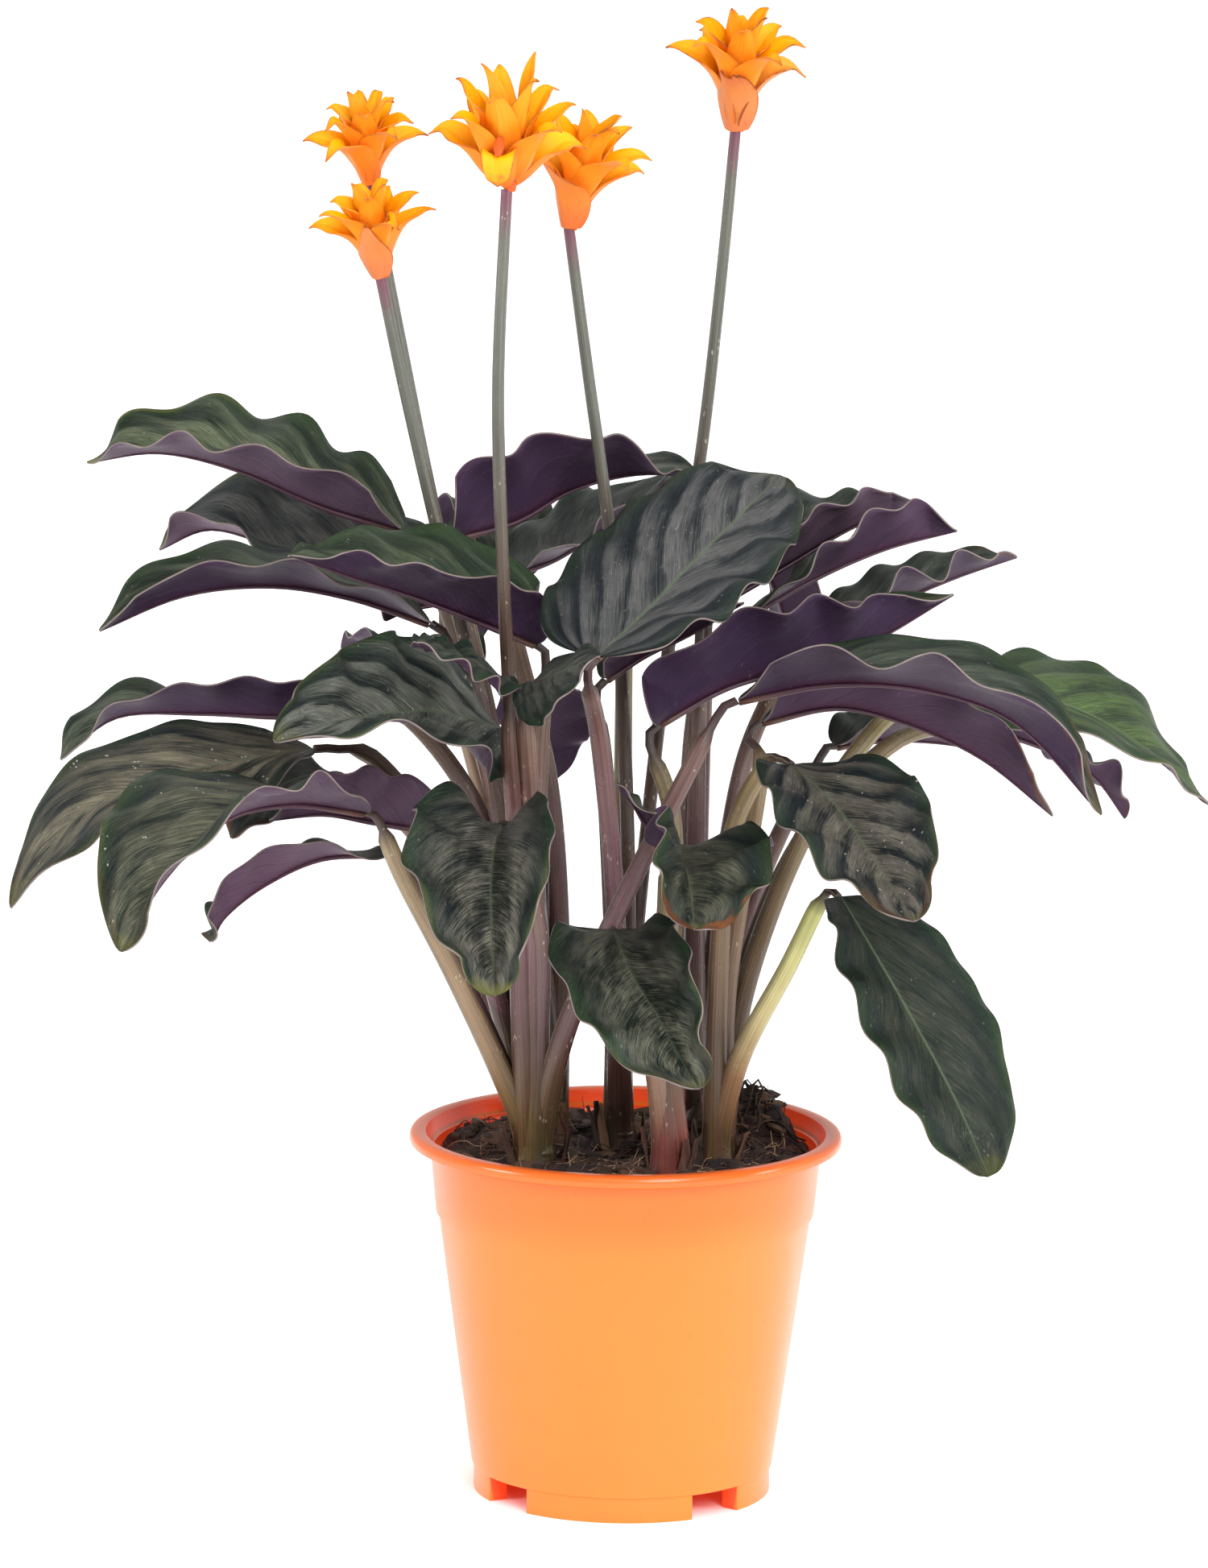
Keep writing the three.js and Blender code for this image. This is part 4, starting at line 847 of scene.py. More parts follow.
# ---- pot ----
def pot_piece(finishes):
    """A thin moulded pot: its profile is extruded ring by ring, then four foot arcs are drawn down."""
    lip_foot = POT_HEIGHT - LIP_HEIGHT
    profile = [
        (FOOT_OUTER, FLOOR_HEIGHT), (BASE_RADIUS - 0.3, FLOOR_HEIGHT + 0.3),
        (BASE_RADIUS, FLOOR_HEIGHT + 1.4),
        (SHOULDER_RADIUS - SHOULDER_STEP, SHOULDER_HEIGHT - 1.2), (SHOULDER_RADIUS - 0.2, SHOULDER_HEIGHT),
        (NECK_RADIUS, lip_foot), (RIM_RADIUS - 1.2, lip_foot), (RIM_RADIUS - 0.3, lip_foot + 0.5),
        (RIM_RADIUS, lip_foot + 1.4), (RIM_RADIUS - 0.1, POT_HEIGHT - 1.4),
        (RIM_RADIUS - 0.7, POT_HEIGHT - 0.4),
        (RIM_RADIUS - 1.8, POT_HEIGHT), (RIM_RADIUS - 4.2, POT_HEIGHT), (RIM_RADIUS - 5.2, POT_HEIGHT - 0.5),
        (RIM_RADIUS - 5.6, POT_HEIGHT - 1.5), (NECK_RADIUS - WALL + 0.9, lip_foot - 0.8),
        (NECK_RADIUS - WALL + 0.2, lip_foot - 1.3), (NECK_RADIUS - WALL, lip_foot - 3.2),
        (NECK_RADIUS - WALL - 0.5, lip_foot - 3.7), (SHOULDER_RADIUS - WALL, SHOULDER_HEIGHT),
        (SHOULDER_RADIUS - SHOULDER_STEP - WALL, SHOULDER_HEIGHT - 1.2),
        (BASE_RADIUS - WALL, FLOOR_HEIGHT + WALL),
    ]
    pot = open_ring("pot_body", POT_SIDES, FOOT_INNER * MM, FLOOR_HEIGHT * MM)
    radius, level = FOOT_INNER, FLOOR_HEIGHT
    for next_radius, next_level in profile:
        rise_by((next_level - level) * MM)
        widen_by(next_radius / radius, next_level * MM)
        radius, level = next_radius, next_level
    close_ends()
    bpy.ops.mesh.select_all(action="DESELECT")
    bpy.ops.object.mode_set(mode="OBJECT")
    for face in pot.data.polygons:
        face.select = in_foot(face.center / MM)
    bpy.ops.object.mode_set(mode="EDIT")
    bpy.ops.mesh.select_mode(type="FACE")
    rise_by(-FLOOR_HEIGHT * MM)
    bpy.ops.mesh.select_mode(type="VERT")
    bpy.ops.object.mode_set(mode="OBJECT")
    soften(pot, 0.35, 2)
    smooth(pot, 40)
    dress(pot, finishes["pot plastic"])
    return keep(pot, "pot", "pot")


def in_foot(middle):
    """Whether a face of the pot's underside, with its middle at this place, belongs to a foot."""
    radius = math.hypot(middle.x, middle.y)
    turn = (math.degrees(math.atan2(middle.y, middle.x)) - FOOT_MIDDLE + 45) % 90 - 45
    level = abs(middle.z - FLOOR_HEIGHT) < 0.1
    return level and FOOT_INNER < radius < FOOT_OUTER and abs(turn) < FOOT_SPAN / 2


def soften(obj, width, segments):
    """Rounds every sharp edge a little."""
    only(obj)
    bevel = obj.modifiers.new("softened edges", "BEVEL")
    bevel.width = width * MM
    bevel.segments = segments
    bevel.limit_method = "ANGLE"
    bevel.angle_limit = math.radians(50)
    bpy.ops.object.modifier_apply(modifier=bevel.name)


# ---- soil ----
def soil_height(x, y):
    """Height of the soil surface: humps, clods and crumbs."""
    z = SOIL_LEVEL
    for hump_x, hump_y, height, spread in HUMPS:
        z += height * math.exp(-((x - hump_x) ** 2 + (y - hump_y) ** 2) / (2 * spread**2))
    z += 2.6 * noise.fractal(Vector((x / 13, y / 13, 3.1)), 1.0, 2.0, 3)
    z += 1.5 * abs(noise.fractal(Vector((x / 4.1, y / 4.1, 8.7)), 0.9, 2.1, 3))
    edge = max(0.0, (math.hypot(x, y) - SOIL_RADIUS + 7) / 7)
    return z - 2.2 * edge


def soil_piece(finishes):
    """The soil plug's top: a disc drawn in from its edge in narrow rings, then crumbled."""
    foot = SOIL_RADIUS - 0.8
    soil = open_ring("soil_surface", SOIL_SIDES, foot * MM, (SOIL_LEVEL - SOIL_DEPTH) * MM)
    rise_by(SOIL_DEPTH * MM)
    widen_by(SOIL_RADIUS / foot)
    for ring in range(SOIL_RINGS, 1, -1):
        bpy.ops.mesh.extrude_region_move()
        widen_by((ring - 1) / ring)
    close_ends()
    bpy.ops.object.mode_set(mode="OBJECT")
    points = points_of(soil) / MM
    for point in points:
        if point[2] > SOIL_LEVEL - 1:
            point[2] = soil_height(point[0], point[1])
    move_points(soil, points)
    smooth(soil, 60)
    dress(soil, finishes["peat"])
    return keep(soil, "soil", "soil")


def scattered(luck, count, reach):
    """Random places on the soil, none of them inside a crown."""
    places = []
    while len(places) < count:
        x, y = luck.uniform(-reach, reach), luck.uniform(-reach, reach)
        clear = all(math.hypot(x - cx, y - cy) > radius + 1 for cx, cy, radius in SHOOTS.values())
        if math.hypot(x, y) < reach and clear:
            places.append((x, y))
    return places


def fibre_path(luck, x, y, length, lift):
    """A strand that lies on the soil, arched in the middle or with one end in the air."""
    turn = luck.uniform(0, FULL_TURN)
    sway = luck.uniform(-0.35, 0.35) * length
    path = []
    for k in range(5):
        share = k / 4 - 0.5
        px = x + share * length * math.cos(turn) - sway * (share * share) * 4 * math.sin(turn)
        py = y + share * length * math.sin(turn) + sway * (share * share) * 4 * math.cos(turn)
        inside = min(1.0, (SOIL_RADIUS - 1.5) / max(1e-6, math.hypot(px, py)))
        px, py = px * inside, py * inside
        path.append((px, py, soil_height(px, py) + 0.2 + lift * luck.uniform(0.1, 1) * (1 - 2 * abs(share))))
    if luck.random() < 0.35:
        end = path[-1]
        path[-1] = (end[0], end[1], end[2] + luck.uniform(1.5, 5))
    return path


def fibres_piece(rod, finishes):
    """Coir strands and fine roots in the soil, with a tangle on the hump at the back."""
    luck = random.Random("fibres")
    strands = []
    for x, y in scattered(luck, FIBRES, 57):
        strands.append((fibre_path(luck, x, y, luck.uniform(7, 24), 2.4), luck.uniform(0.12, 0.34)))
    for _ in range(TANGLE):
        x, y = (middle + luck.gauss(0, 7) for middle in TANGLE_MIDDLE)
        if math.hypot(x, y) < 57:
            strands.append((fibre_path(luck, x, y, luck.uniform(12, 26), 6.5), luck.uniform(0.3, 0.75)))
    parts = []
    for path, radius in strands:
        strand = twin(rod, "strand")
        share = bend_rod(strand, path, lambda s, a, r=radius: r * (1 - 0.5 * s))
        tone = luck.choice(FIBRE_TONES)
        if radius > THICK_FIBRE:
            tone = luck.choice(ROOT_TONES)
        note(strand, "tint", "FLOAT_COLOR", graded([(0, tone), (1, tone)], share))
        parts.append(strand)
    fibres = gathered("soil_fibres", parts)
    dress(fibres, finishes["root skin"])
    smooth(fibres)
    return keep(fibres, "soil")


def crumbs_piece(lump, finishes):
    """Bark chips and clods lying on the soil."""
    luck = random.Random("crumbs")
    parts = []
    places = scattered(luck, CHIPS, 58)
    places += [tuple(middle + luck.gauss(0, 6) for middle in HEAP_MIDDLE) for _ in range(HEAP)]
    for x, y in places:
        if math.hypot(x, y) > 58.5:
            continue
        chip = twin(lump, "chip")
        rough = points_of(chip) * [[luck.uniform(0.82, 1.12)] for _ in range(len(chip.data.vertices))]
        size = luck.uniform(0.6, 2.3)
        stretch = (size * luck.uniform(0.8, 2.2), size, size * luck.uniform(0.35, 0.8))
        spin = Matrix.Rotation(luck.uniform(0, FULL_TURN), 3, "Z")
        spin = spin @ Matrix.Rotation(luck.uniform(-0.7, 0.7), 3, "X")
        middle = np.array((x, y, soil_height(x, y) + 0.15 * size))
        move_points(chip, (rough * stretch) @ np.array(spin).T + middle)
        tone = luck.choice(CHIP_TONES)
        note(chip, "tint", "FLOAT_COLOR", paint(tone))
        parts.append(chip)
    crumbs = gathered("soil_crumbs", parts)
    dress(crumbs, finishes["root skin"])
    smooth(crumbs, 50)
    return keep(crumbs, "soil")


def husks_piece(bract_sheet, finishes):
    """Papery dead sheaths left round the foot of each crown."""
    luck = random.Random("husks")
    parts = []
    for x, y, radius in SHOOTS.values():
        for _ in range(HUSKS):
            husk = twin(bract_sheet, "husk")
            flat = points_of(husk)
            across, u = flat[:, 0], flat[:, 1]
            tall = luck.uniform(9, 19)
            wide = luck.uniform(2.0, 3.6) * (1 - 0.75 * u**1.5)
            turn = luck.uniform(0, FULL_TURN)
            out = radius + 0.4 + luck.uniform(0.5, 3.5) * u**2 + 0.5 * np.sin(7 * u + 3 * across)
            angle = turn + across * wide / radius
            level = SOIL_LEVEL - 3 + tall * u
            move_points(husk, np.stack([x + out * np.cos(angle), y + out * np.sin(angle), level], 1))
            tone = luck.choice(HUSK_TONES)
            note(husk, "tint", "FLOAT_COLOR", paint(tone))
            dress(husk, *[finishes["root skin"]] * 3)
            thicken(husk, 0.3)
            parts.append(husk)
    husks = gathered("crown_husks", parts)
    smooth(husks, 60)
    return keep(husks, "stems")


# ---- shader nodes ----
def wire(tree, value, socket):
    if isinstance(value, bpy.types.NodeSocket):
        tree.links.new(value, socket)
    else:
        socket.default_value = value


def lay(tree, kind, inputs, **settings):
    """Adds a node, sets it up and wires its inputs."""
    node = tree.nodes.new(kind)
    for key, value in settings.items():
        setattr(node, key, value)
    for key, value in inputs.items():
        wire(tree, value, node.inputs[key])
    return node


def reckon(tree, operation, *values, clamp=False):
    inputs = dict(enumerate(values))
    return lay(tree, "ShaderNodeMath", inputs, operation=operation, use_clamp=clamp).outputs[0]


def times(tree, first, second, clamp=False):
    return reckon(tree, "MULTIPLY", first, second, clamp=clamp)


def scaled(tree, value, factor, shift):
    """value * factor + shift"""
    return reckon(tree, "MULTIPLY_ADD", value, factor, shift)


def between(tree, value, low, high):
    """0 at low, 1 at high and smooth between, also where low is the greater."""
    inputs = {"Value": value, "From Min": low, "From Max": high}
    return lay(tree, "ShaderNodeMapRange", inputs, interpolation_type="SMOOTHSTEP").outputs[0]


def blend(tree, share, first, second):
    """Between two colours, each a colour code or what another node gives."""
    first, second = (paint(each) if isinstance(each, str) else each for each in (first, second))
    inputs = {0: share, 6: first, 7: second}
    return lay(tree, "ShaderNodeMix", inputs, data_type="RGBA").outputs[2]


def tinted(tree, colour, factor):
    """A colour made darker or lighter by a factor near 1."""
    grey = lay(tree, "ShaderNodeCombineColor", {0: factor, 1: factor, 2: factor}).outputs[0]
    inputs = {0: 1.0, 6: colour, 7: grey}
    return lay(tree, "ShaderNodeMix", inputs, data_type="RGBA", blend_type="MULTIPLY").outputs[2]


def cloud(tree, where, scale, detail=3.0, rough=0.55):
    inputs = {"Vector": where, "Scale": scale, "Detail": detail, "Roughness": rough}
    return lay(tree, "ShaderNodeTexNoise", inputs).outputs[0]


def stretched(tree, where, scale):
    return lay(tree, "ShaderNodeMapping", {"Vector": where, "Scale": scale}).outputs[0]


def place_on_object(tree):
    return lay(tree, "ShaderNodeTexCoord", {}).outputs["Object"]


def place_on_sheet(tree):
    """Across and along of a sheet, from its UV map."""
    split = lay(tree, "ShaderNodeSeparateXYZ", {0: lay(tree, "ShaderNodeTexCoord", {}).outputs["UV"]})
    return split.outputs[0], split.outputs[1]


def kept_note(tree, name):
    """A colour kept on the points, its three channels, and its alpha."""
    source = lay(tree, "ShaderNodeAttribute", {}, attribute_name=name)
    split = lay(tree, "ShaderNodeSeparateColor", {0: source.outputs["Color"]})
    return source.outputs["Color"], split.outputs, source.outputs["Alpha"]


def kept_place(tree, name):
    """A place kept on the points, and its three parts."""
    place = lay(tree, "ShaderNodeAttribute", {}, attribute_name=name).outputs["Vector"]
    return place, lay(tree, "ShaderNodeSeparateXYZ", {0: place}).outputs


def joined(tree, x, y, z=0.0):
    """A place made of two or three numbers."""
    return lay(tree, "ShaderNodeCombineXYZ", {0: x, 1: y, 2: z}).outputs[0]


def relief(tree, height, distance):
    inputs = {"Height": height, "Distance": distance * MM, "Strength": 1.0}
    return lay(tree, "ShaderNodeBump", inputs).outputs[0]


def new_finish(name):
    material = bpy.data.materials.new(name)
    material.use_nodes = True
    return material, material.node_tree, material.node_tree.nodes["Principled BSDF"]


def new_group(name, inputs, outputs):
    """An effect with named inputs and outputs: its tree, its inputs and where its results go."""
    tree = bpy.data.node_groups.new(name, "ShaderNodeTree")
    for label, value in inputs.items():
        tree.interface.new_socket(label, in_out="INPUT", socket_type="NodeSocketFloat").default_value = value
    for label in outputs:
        tree.interface.new_socket(label, in_out="OUTPUT", socket_type="NodeSocketFloat")
    return tree, tree.nodes.new("NodeGroupInput").outputs, tree.nodes.new("NodeGroupOutput").inputs


def use(tree, group, **inputs):
    """Places an effect in a material and returns its results."""
    node = tree.nodes.new("ShaderNodeGroup")
    node.node_tree = group
    for label, value in inputs.items():
        wire(tree, value, node.inputs[label.replace("_", " ")])
    return node.outputs


# ---- effects that several finishes share ----
RUST = ("#3c2218", "#94582f")       # scorched leaf


def veining():
    """Side veins of a blade. Band is 1 on a vein and 0 midway; Vein marks the veins themselves; Streak is
    fine grain along them, Pin its finest lines, Patch tells one band from the next and Burnt marks a
    scorched tip."""
    tree, given, results = new_group(
        "veining", {"Across": 0.5, "Along": 0.5},
        ["Reach", "Band", "Vein", "Streak", "Pin", "Patch", "Burnt"])
    _, (sweep_left, sweep_right, _), _ = kept_note(tree, "character")
    signed = scaled(tree, given["Across"], 2, -1)
    reach = reckon(tree, "ABSOLUTE", signed)
    leftwards = reckon(tree, "LESS_THAN", signed, 0)
    curved = times(tree, reach, scaled(tree, reach, RIB_BEND, 1 - RIB_BEND))
    forward = times(tree, curved, scaled(tree, given["Along"], -0.4, 1))
    sweep = lay(tree, "ShaderNodeMix", {0: leftwards, 2: sweep_right, 3: sweep_left}).outputs[0]
    swept = reckon(tree, "SUBTRACT", given["Along"], times(tree, forward, sweep))
    phase = scaled(tree, swept, RIB_COUNT, times(tree, leftwards, 0.5))
    _, (seed, _, _) = kept_place(tree, "own")
    spread = scaled(tree, signed, 3, seed)
    stray = cloud(tree, joined(tree, spread, times(tree, phase, 0.6)), 1.0, 3.0)
    turn = times(tree, scaled(tree, stray, 0.8, phase), 2 * math.pi)
    skewed = scaled(tree, reckon(tree, "COSINE", turn), 0.7, turn)
    crest = reckon(tree, "ABSOLUTE", reckon(tree, "SINE", times(tree, phase, math.pi)))
    brushed = joined(tree, times(tree, signed, 3), times(tree, phase, 20))
    pinned = joined(tree, times(tree, signed, 6), times(tree, phase, 55))
    patches = joined(tree, spread, times(tree, phase, 1.1))
    wire(tree, reach, results["Reach"])
    wire(tree, scaled(tree, reckon(tree, "COSINE", skewed), 0.5, 0.5), results["Band"])
    wire(tree, between(tree, crest, 0.1, 0.0), results["Vein"])
    wire(tree, between(tree, cloud(tree, brushed, 1.0, 5.0, 0.75), 0.25, 0.75), results["Streak"])
    wire(tree, between(tree, cloud(tree, pinned, 1.0, 2.0, 0.6), 0.25, 0.75), results["Pin"])
    wire(tree, cloud(tree, patches, 0.9, 3.0), results["Patch"])
    _, _, scorched = kept_note(tree, "habit")
    bitten = cloud(tree, joined(tree, spread, times(tree, given["Along"], 9)), 1.5, 3.0)
    outer = scaled(tree, given["Along"], 0.75, scaled(tree, reach, 0.25, -0.15))
    burnt = between(tree, scaled(tree, bitten, 0.3, outer), 0.83, 0.88)
    wire(tree, times(tree, burnt, scorched), results["Burnt"])
    return tree


def weathering():
    """Patches, specks drawn out downwards and fine grain. Patches and Specks are counts per metre."""
    tree, given, results = new_group(
        "weathering", {"Patches": 90.0, "Specks": 700.0}, ["Mottle", "Speck", "Grain"])
    where = place_on_object(tree)
    wire(tree, cloud(tree, where, given["Patches"], 4.0, 0.6), results["Mottle"])
    drawn = stretched(tree, where, (1, 1, 0.4))
    dots = lay(tree, "ShaderNodeTexVoronoi", {"Vector": drawn, "Scale": given["Specks"], "Randomness": 1.0})
    rare = between(tree, cloud(tree, where, times(tree, given["Specks"], 0.2), 2.0), 0.59, 0.66)
    dot = between(tree, dots.outputs["Distance"], 0.26, 0.16)
    wire(tree, times(tree, dot, rare), results["Speck"])
    wire(tree, cloud(tree, where, times(tree, given["Specks"], 3), 3.0, 0.65), results["Grain"])
    return tree


# ---- finishes ----
def leaf_top(veins, wear):
    """Dark charcoal green, brushed with grey and brown feathers between the side veins, partly the leaf's own
    pattern and partly a painted sheen.
    """
    material, tree, shader = new_finish("leaf top")
    across, along = place_on_sheet(tree)
    vein = use(tree, veins, Across=across, Along=along)
    worn = use(tree, wear, Patches=110.0, Specks=640.0)
    _, (lush, banded, yellowed), _ = kept_note(tree, "habit")
    _, (_, _, pale_share), brown = kept_note(tree, "character")
    reach = vein["Reach"]
    frayed = scaled(tree, vein["Streak"], 0.7, -0.35)
    wedge = scaled(tree, reach, -0.7, reckon(tree, "ADD", vein["Band"], frayed))
    wedge = scaled(tree, vein["Patch"], 1.2, wedge)
    # pale feathers: partly the leaf's own pattern, partly a painted sheen
    feather_and_sheen = between(tree, wedge, 0.2, 1.15)
    plain = between(tree, scaled(tree, frayed, 0.6, vein["Patch"]), 0.3, 0.8)
    feather_and_sheen = lay(tree, "ShaderNodeMix", {0: banded, 2: plain, 3: feather_and_sheen}).outputs[0]
    feather_and_sheen = times(tree, feather_and_sheen, between(tree, reckon(tree, "ADD", reach, frayed), 1.15, 0.5))
    patchy_feather_and_sheen = scaled(tree, worn["Mottle"], 1.3, 0.35)
    feather_and_sheen = times(tree, times(tree, feather_and_sheen, patchy_feather_and_sheen), pale_share, clamp=True)
    dark = blend(tree, lush, "#121a21", "#1d3117")
    pale = blend(tree, brown, "#7c7f86", "#84786b")
    pale = blend(tree, lush, pale, "#668045")
    # the pale colour stands partly for the leaf's own pattern and partly for painted sheen
    colour = blend(tree, feather_and_sheen, dark, pale)
    fine = scaled(tree, vein["Streak"], 0.5, scaled(tree, vein["Pin"], 0.9, -0.1))
    colour = tinted(tree, colour, scaled(tree, worn["Grain"], 0.9, fine))
    edge = times(tree, between(tree, reach, 0.75, 1.0), scaled(tree, lush, 0.6, 0.2))
    colour = blend(tree, edge, colour, "#34502a")
    colour = blend(tree, times(tree, vein["Vein"], 0.3), colour, "#1a2220")
    line = scaled(tree, along, -0.3, 0.7)
    line = times(tree, between(tree, reach, 0.035, 0.008), line)
    colour = blend(tree, line, colour, "#66785a")
    ragged = scaled(tree, worn["Mottle"], 0.16, -0.08)
    tip = between(tree, reckon(tree, "ADD", along, ragged), 0.92, 1.0)
    rim = times(tree, between(tree, reach, 0.9, 1.0), between(tree, along, 0.35, 0.85))
    gold = reckon(tree, "MAXIMUM", tip, times(tree, rim, 0.5))
    colour = blend(tree, times(tree, gold, yellowed), colour, "#8f9040")
    colour = blend(tree, vein["Burnt"], colour, blend(tree, worn["Mottle"], *RUST))
    _, (_, _, flecked) = kept_place(tree, "own")
    scuff = times(tree, worn["Speck"], flecked)
    colour = blend(tree, scuff, colour, "#c9c6ba")
    wire(tree, colour, shader.inputs["Base Color"])
    gloss = scaled(tree, worn["Mottle"], 0.2, 0.22)
    gloss = scaled(tree, feather_and_sheen, 0.16, gloss)
    wire(tree, scaled(tree, vein["Burnt"], 0.3, gloss), shader.inputs["Roughness"])
    grain = scaled(tree, worn["Grain"], 0.4, reckon(tree, "ADD", vein["Streak"], vein["Pin"]))
    wire(tree, relief(tree, grain, 0.16), shader.inputs["Normal"])
    shader.inputs["Specular IOR Level"].default_value = 0.25
    return material


def leaf_underside(veins, wear):
    """Glossy dark purple, redder by the midrib, with raised side veins."""
    material, tree, shader = new_finish("leaf underside")
    across, along = place_on_sheet(tree)
    vein = use(tree, veins, Across=across, Along=along)
    worn = use(tree, wear, Patches=70.0, Specks=600.0)
    _, (_, pale_share, _) = kept_place(tree, "own")
    reach = vein["Reach"]
    colour = blend(tree, worn["Mottle"], "#1c0f27", "#3c2443")
    colour = blend(tree, pale_share, colour, "#715a6b")
    colour = tinted(tree, colour, scaled(tree, vein["Streak"], 0.4, 0.8))
    colour = tinted(tree, colour, scaled(tree, vein["Pin"], 0.3, 0.85))
    flush = times(tree, between(tree, reach, 0.2, 0.0), 0.4)
    colour = blend(tree, flush, colour, "#4f2436")
    colour = blend(tree, times(tree, vein["Vein"], 0.2), colour, "#5d4560")
    colour = blend(tree, times(tree, between(tree, reach, 0.94, 1), 0.4), colour, "#5c3c50")
    colour = blend(tree, times(tree, worn["Speck"], 0.2), colour, "#9a8a98")
    colour = blend(tree, vein["Burnt"], colour, blend(tree, worn["Mottle"], *RUST))
    wire(tree, colour, shader.inputs["Base Color"])
    wire(tree, scaled(tree, worn["Mottle"], 0.16, 0.3), shader.inputs["Roughness"])
    lines = scaled(tree, vein["Vein"], 1.2, vein["Streak"])
    wire(tree, relief(tree, lines, 0.16), shader.inputs["Normal"])
    shader.inputs["Specular IOR Level"].default_value = 0.3
    shader.inputs["Specular Tint"].default_value = paint("#d9cdf0")
    return material


def leaf_margin(wear):
    """The thin pale edge of a blade."""
    material, tree, shader = new_finish("leaf margin")
    worn = use(tree, wear, Patches=160.0, Specks=900.0)
    colour = blend(tree, worn["Mottle"], "#4c3f3f", "#94857f")
    wire(tree, colour, shader.inputs["Base Color"])
    wire(tree, scaled(tree, worn["Grain"], 0.2, 0.4), shader.inputs["Roughness"])
    return material


def midrib_skin(wear):
    """The raised vein under a blade: plum, browner at its foot."""
    material, tree, shader = new_finish("midrib")
    place, (_, _, along) = kept_place(tree, "grain")
    worn = use(tree, wear, Patches=130.0, Specks=800.0)
    lines = cloud(tree, stretched(tree, place, (4, 4, 0.5)), 1.0, 3.0)
    colour = blend(tree, between(tree, along, 1.5, 0.0), "#452636", "#5e4034")
    colour = tinted(tree, colour, scaled(tree, lines, 0.8, 0.6))
    wire(tree, colour, shader.inputs["Base Color"])
    wire(tree, scaled(tree, worn["Mottle"], 0.2, 0.3), shader.inputs["Roughness"])
    wire(tree, relief(tree, lines, 0.08), shader.inputs["Normal"])
    return material


def stalk_skin(wear):
    """Stalks: their own tint, striped lengthwise, with pale sheath lips and a dirty foot."""
    material, tree, shader = new_finish("stalk skin")
    tint, _, soiled = kept_note(tree, "tint")
    place, (facing, _, _) = kept_place(tree, "grain")
    worn = use(tree, wear, Patches=75.0, Specks=650.0)
    stripes = cloud(tree, stretched(tree, place, (5.5, 5.5, 0.12)), 1.0, 4.0, 0.6)
    broad = cloud(tree, stretched(tree, place, (1.3, 1.3, 0.1)), 1.0, 2.0)
    shade = scaled(tree, stripes, 1.5, 0.2)
    shade = times(tree, shade, scaled(tree, broad, 1.3, 0.35))
    shade = times(tree, shade, scaled(tree, worn["Mottle"], 0.4, 0.8))
    colour = tinted(tree, tint, shade)
    lips = times(tree, between(tree, facing, 0.93, 0.99), 0.35)
    colour = blend(tree, lips, colour, "#b9a88a")
    mud = times(tree, soiled, between(tree, worn["Mottle"], 0.4, 0.62))
    colour = blend(tree, times(tree, mud, 0.8), colour, "#2c2019")
    colour = blend(tree, times(tree, worn["Speck"], 0.5), colour, "#c9bda6")
    wire(tree, colour, shader.inputs["Base Color"])
    wire(tree, scaled(tree, worn["Mottle"], 0.3, 0.1), shader.inputs["Roughness"])
    height = reckon(tree, "ADD", stripes, times(tree, worn["Grain"], 0.35))
    wire(tree, relief(tree, height, 0.22), shader.inputs["Normal"])
    return material


def bract_finish(name, wear, low, high, foot, brown):
    """One face of a bract: low and high are its colours on the lowest and highest bracts."""
    material, tree, shader = new_finish(name)
    across, along = place_on_sheet(tree)
    _, (rank, spent, luck), _ = kept_note(tree, "bloom")
    worn = use(tree, wear, Patches=140.0, Specks=900.0)
    where = joined(tree, times(tree, across, 26), times(tree, along, 2.2),
                   times(tree, luck, 9))
    lines = cloud(tree, where, 1.0, 3.0, 0.6)
    colour = blend(tree, rank, low, high)
    glow = cloud(tree, joined(tree, across, along, times(tree, luck, 20)), 2.2, 2.0)
    ends = reckon(tree, "MAXIMUM", between(tree, along, 0.42, 0.05), between(tree, along, 0.75, 1.0))
    ends = times(tree, ends, scaled(tree, glow, 1.2, 0.1), clamp=True)
    colour = blend(tree, ends, colour, foot)
    worse = times(tree, between(tree, spent, 0.7, 1.0), between(tree, rank, 0.2, 0.0))
    colour = blend(tree, times(tree, worse, lines), colour, "#b0785c")
    streaks = times(tree, between(tree, lines, 0.45, 0.7), between(tree, rank, 0.5, 0.0))
    colour = blend(tree, times(tree, streaks, 0.5), colour, foot)
    colour = tinted(tree, colour, scaled(tree, lines, 0.7, 0.65))
    reach = reckon(tree, "ABSOLUTE", scaled(tree, across, 2, -1))
    ragged = scaled(tree, worn["Mottle"], 0.3, -0.15)
    tip = between(tree, reckon(tree, "ADD", along, ragged), 0.94, 1.0)
    rim = times(tree, between(tree, reckon(tree, "ADD", reach, ragged), 0.93, 1.04), 0.8)
    spoiled = times(tree, reckon(tree, "MAXIMUM", tip, rim), reckon(tree, "ADD", spent, 0.3), clamp=True)
    colour = blend(tree, spoiled, colour, brown)
    bruise = times(tree, worn["Speck"], times(tree, spent, 0.7))
    colour = blend(tree, bruise, colour, "#94441a")
    wire(tree, colour, shader.inputs["Base Color"])
    wire(tree, scaled(tree, worn["Mottle"], 0.15, 0.42), shader.inputs["Roughness"])
    wire(tree, relief(tree, lines, 0.16), shader.inputs["Normal"])
    shader.inputs["Specular IOR Level"].default_value = 0.25
    shader.inputs["Subsurface Weight"].default_value = 0.15
    shader.inputs["Subsurface Radius"].default_value = (1.0, 0.45, 0.05)
    shader.inputs["Subsurface Scale"].default_value = 1.5 * MM
    return material


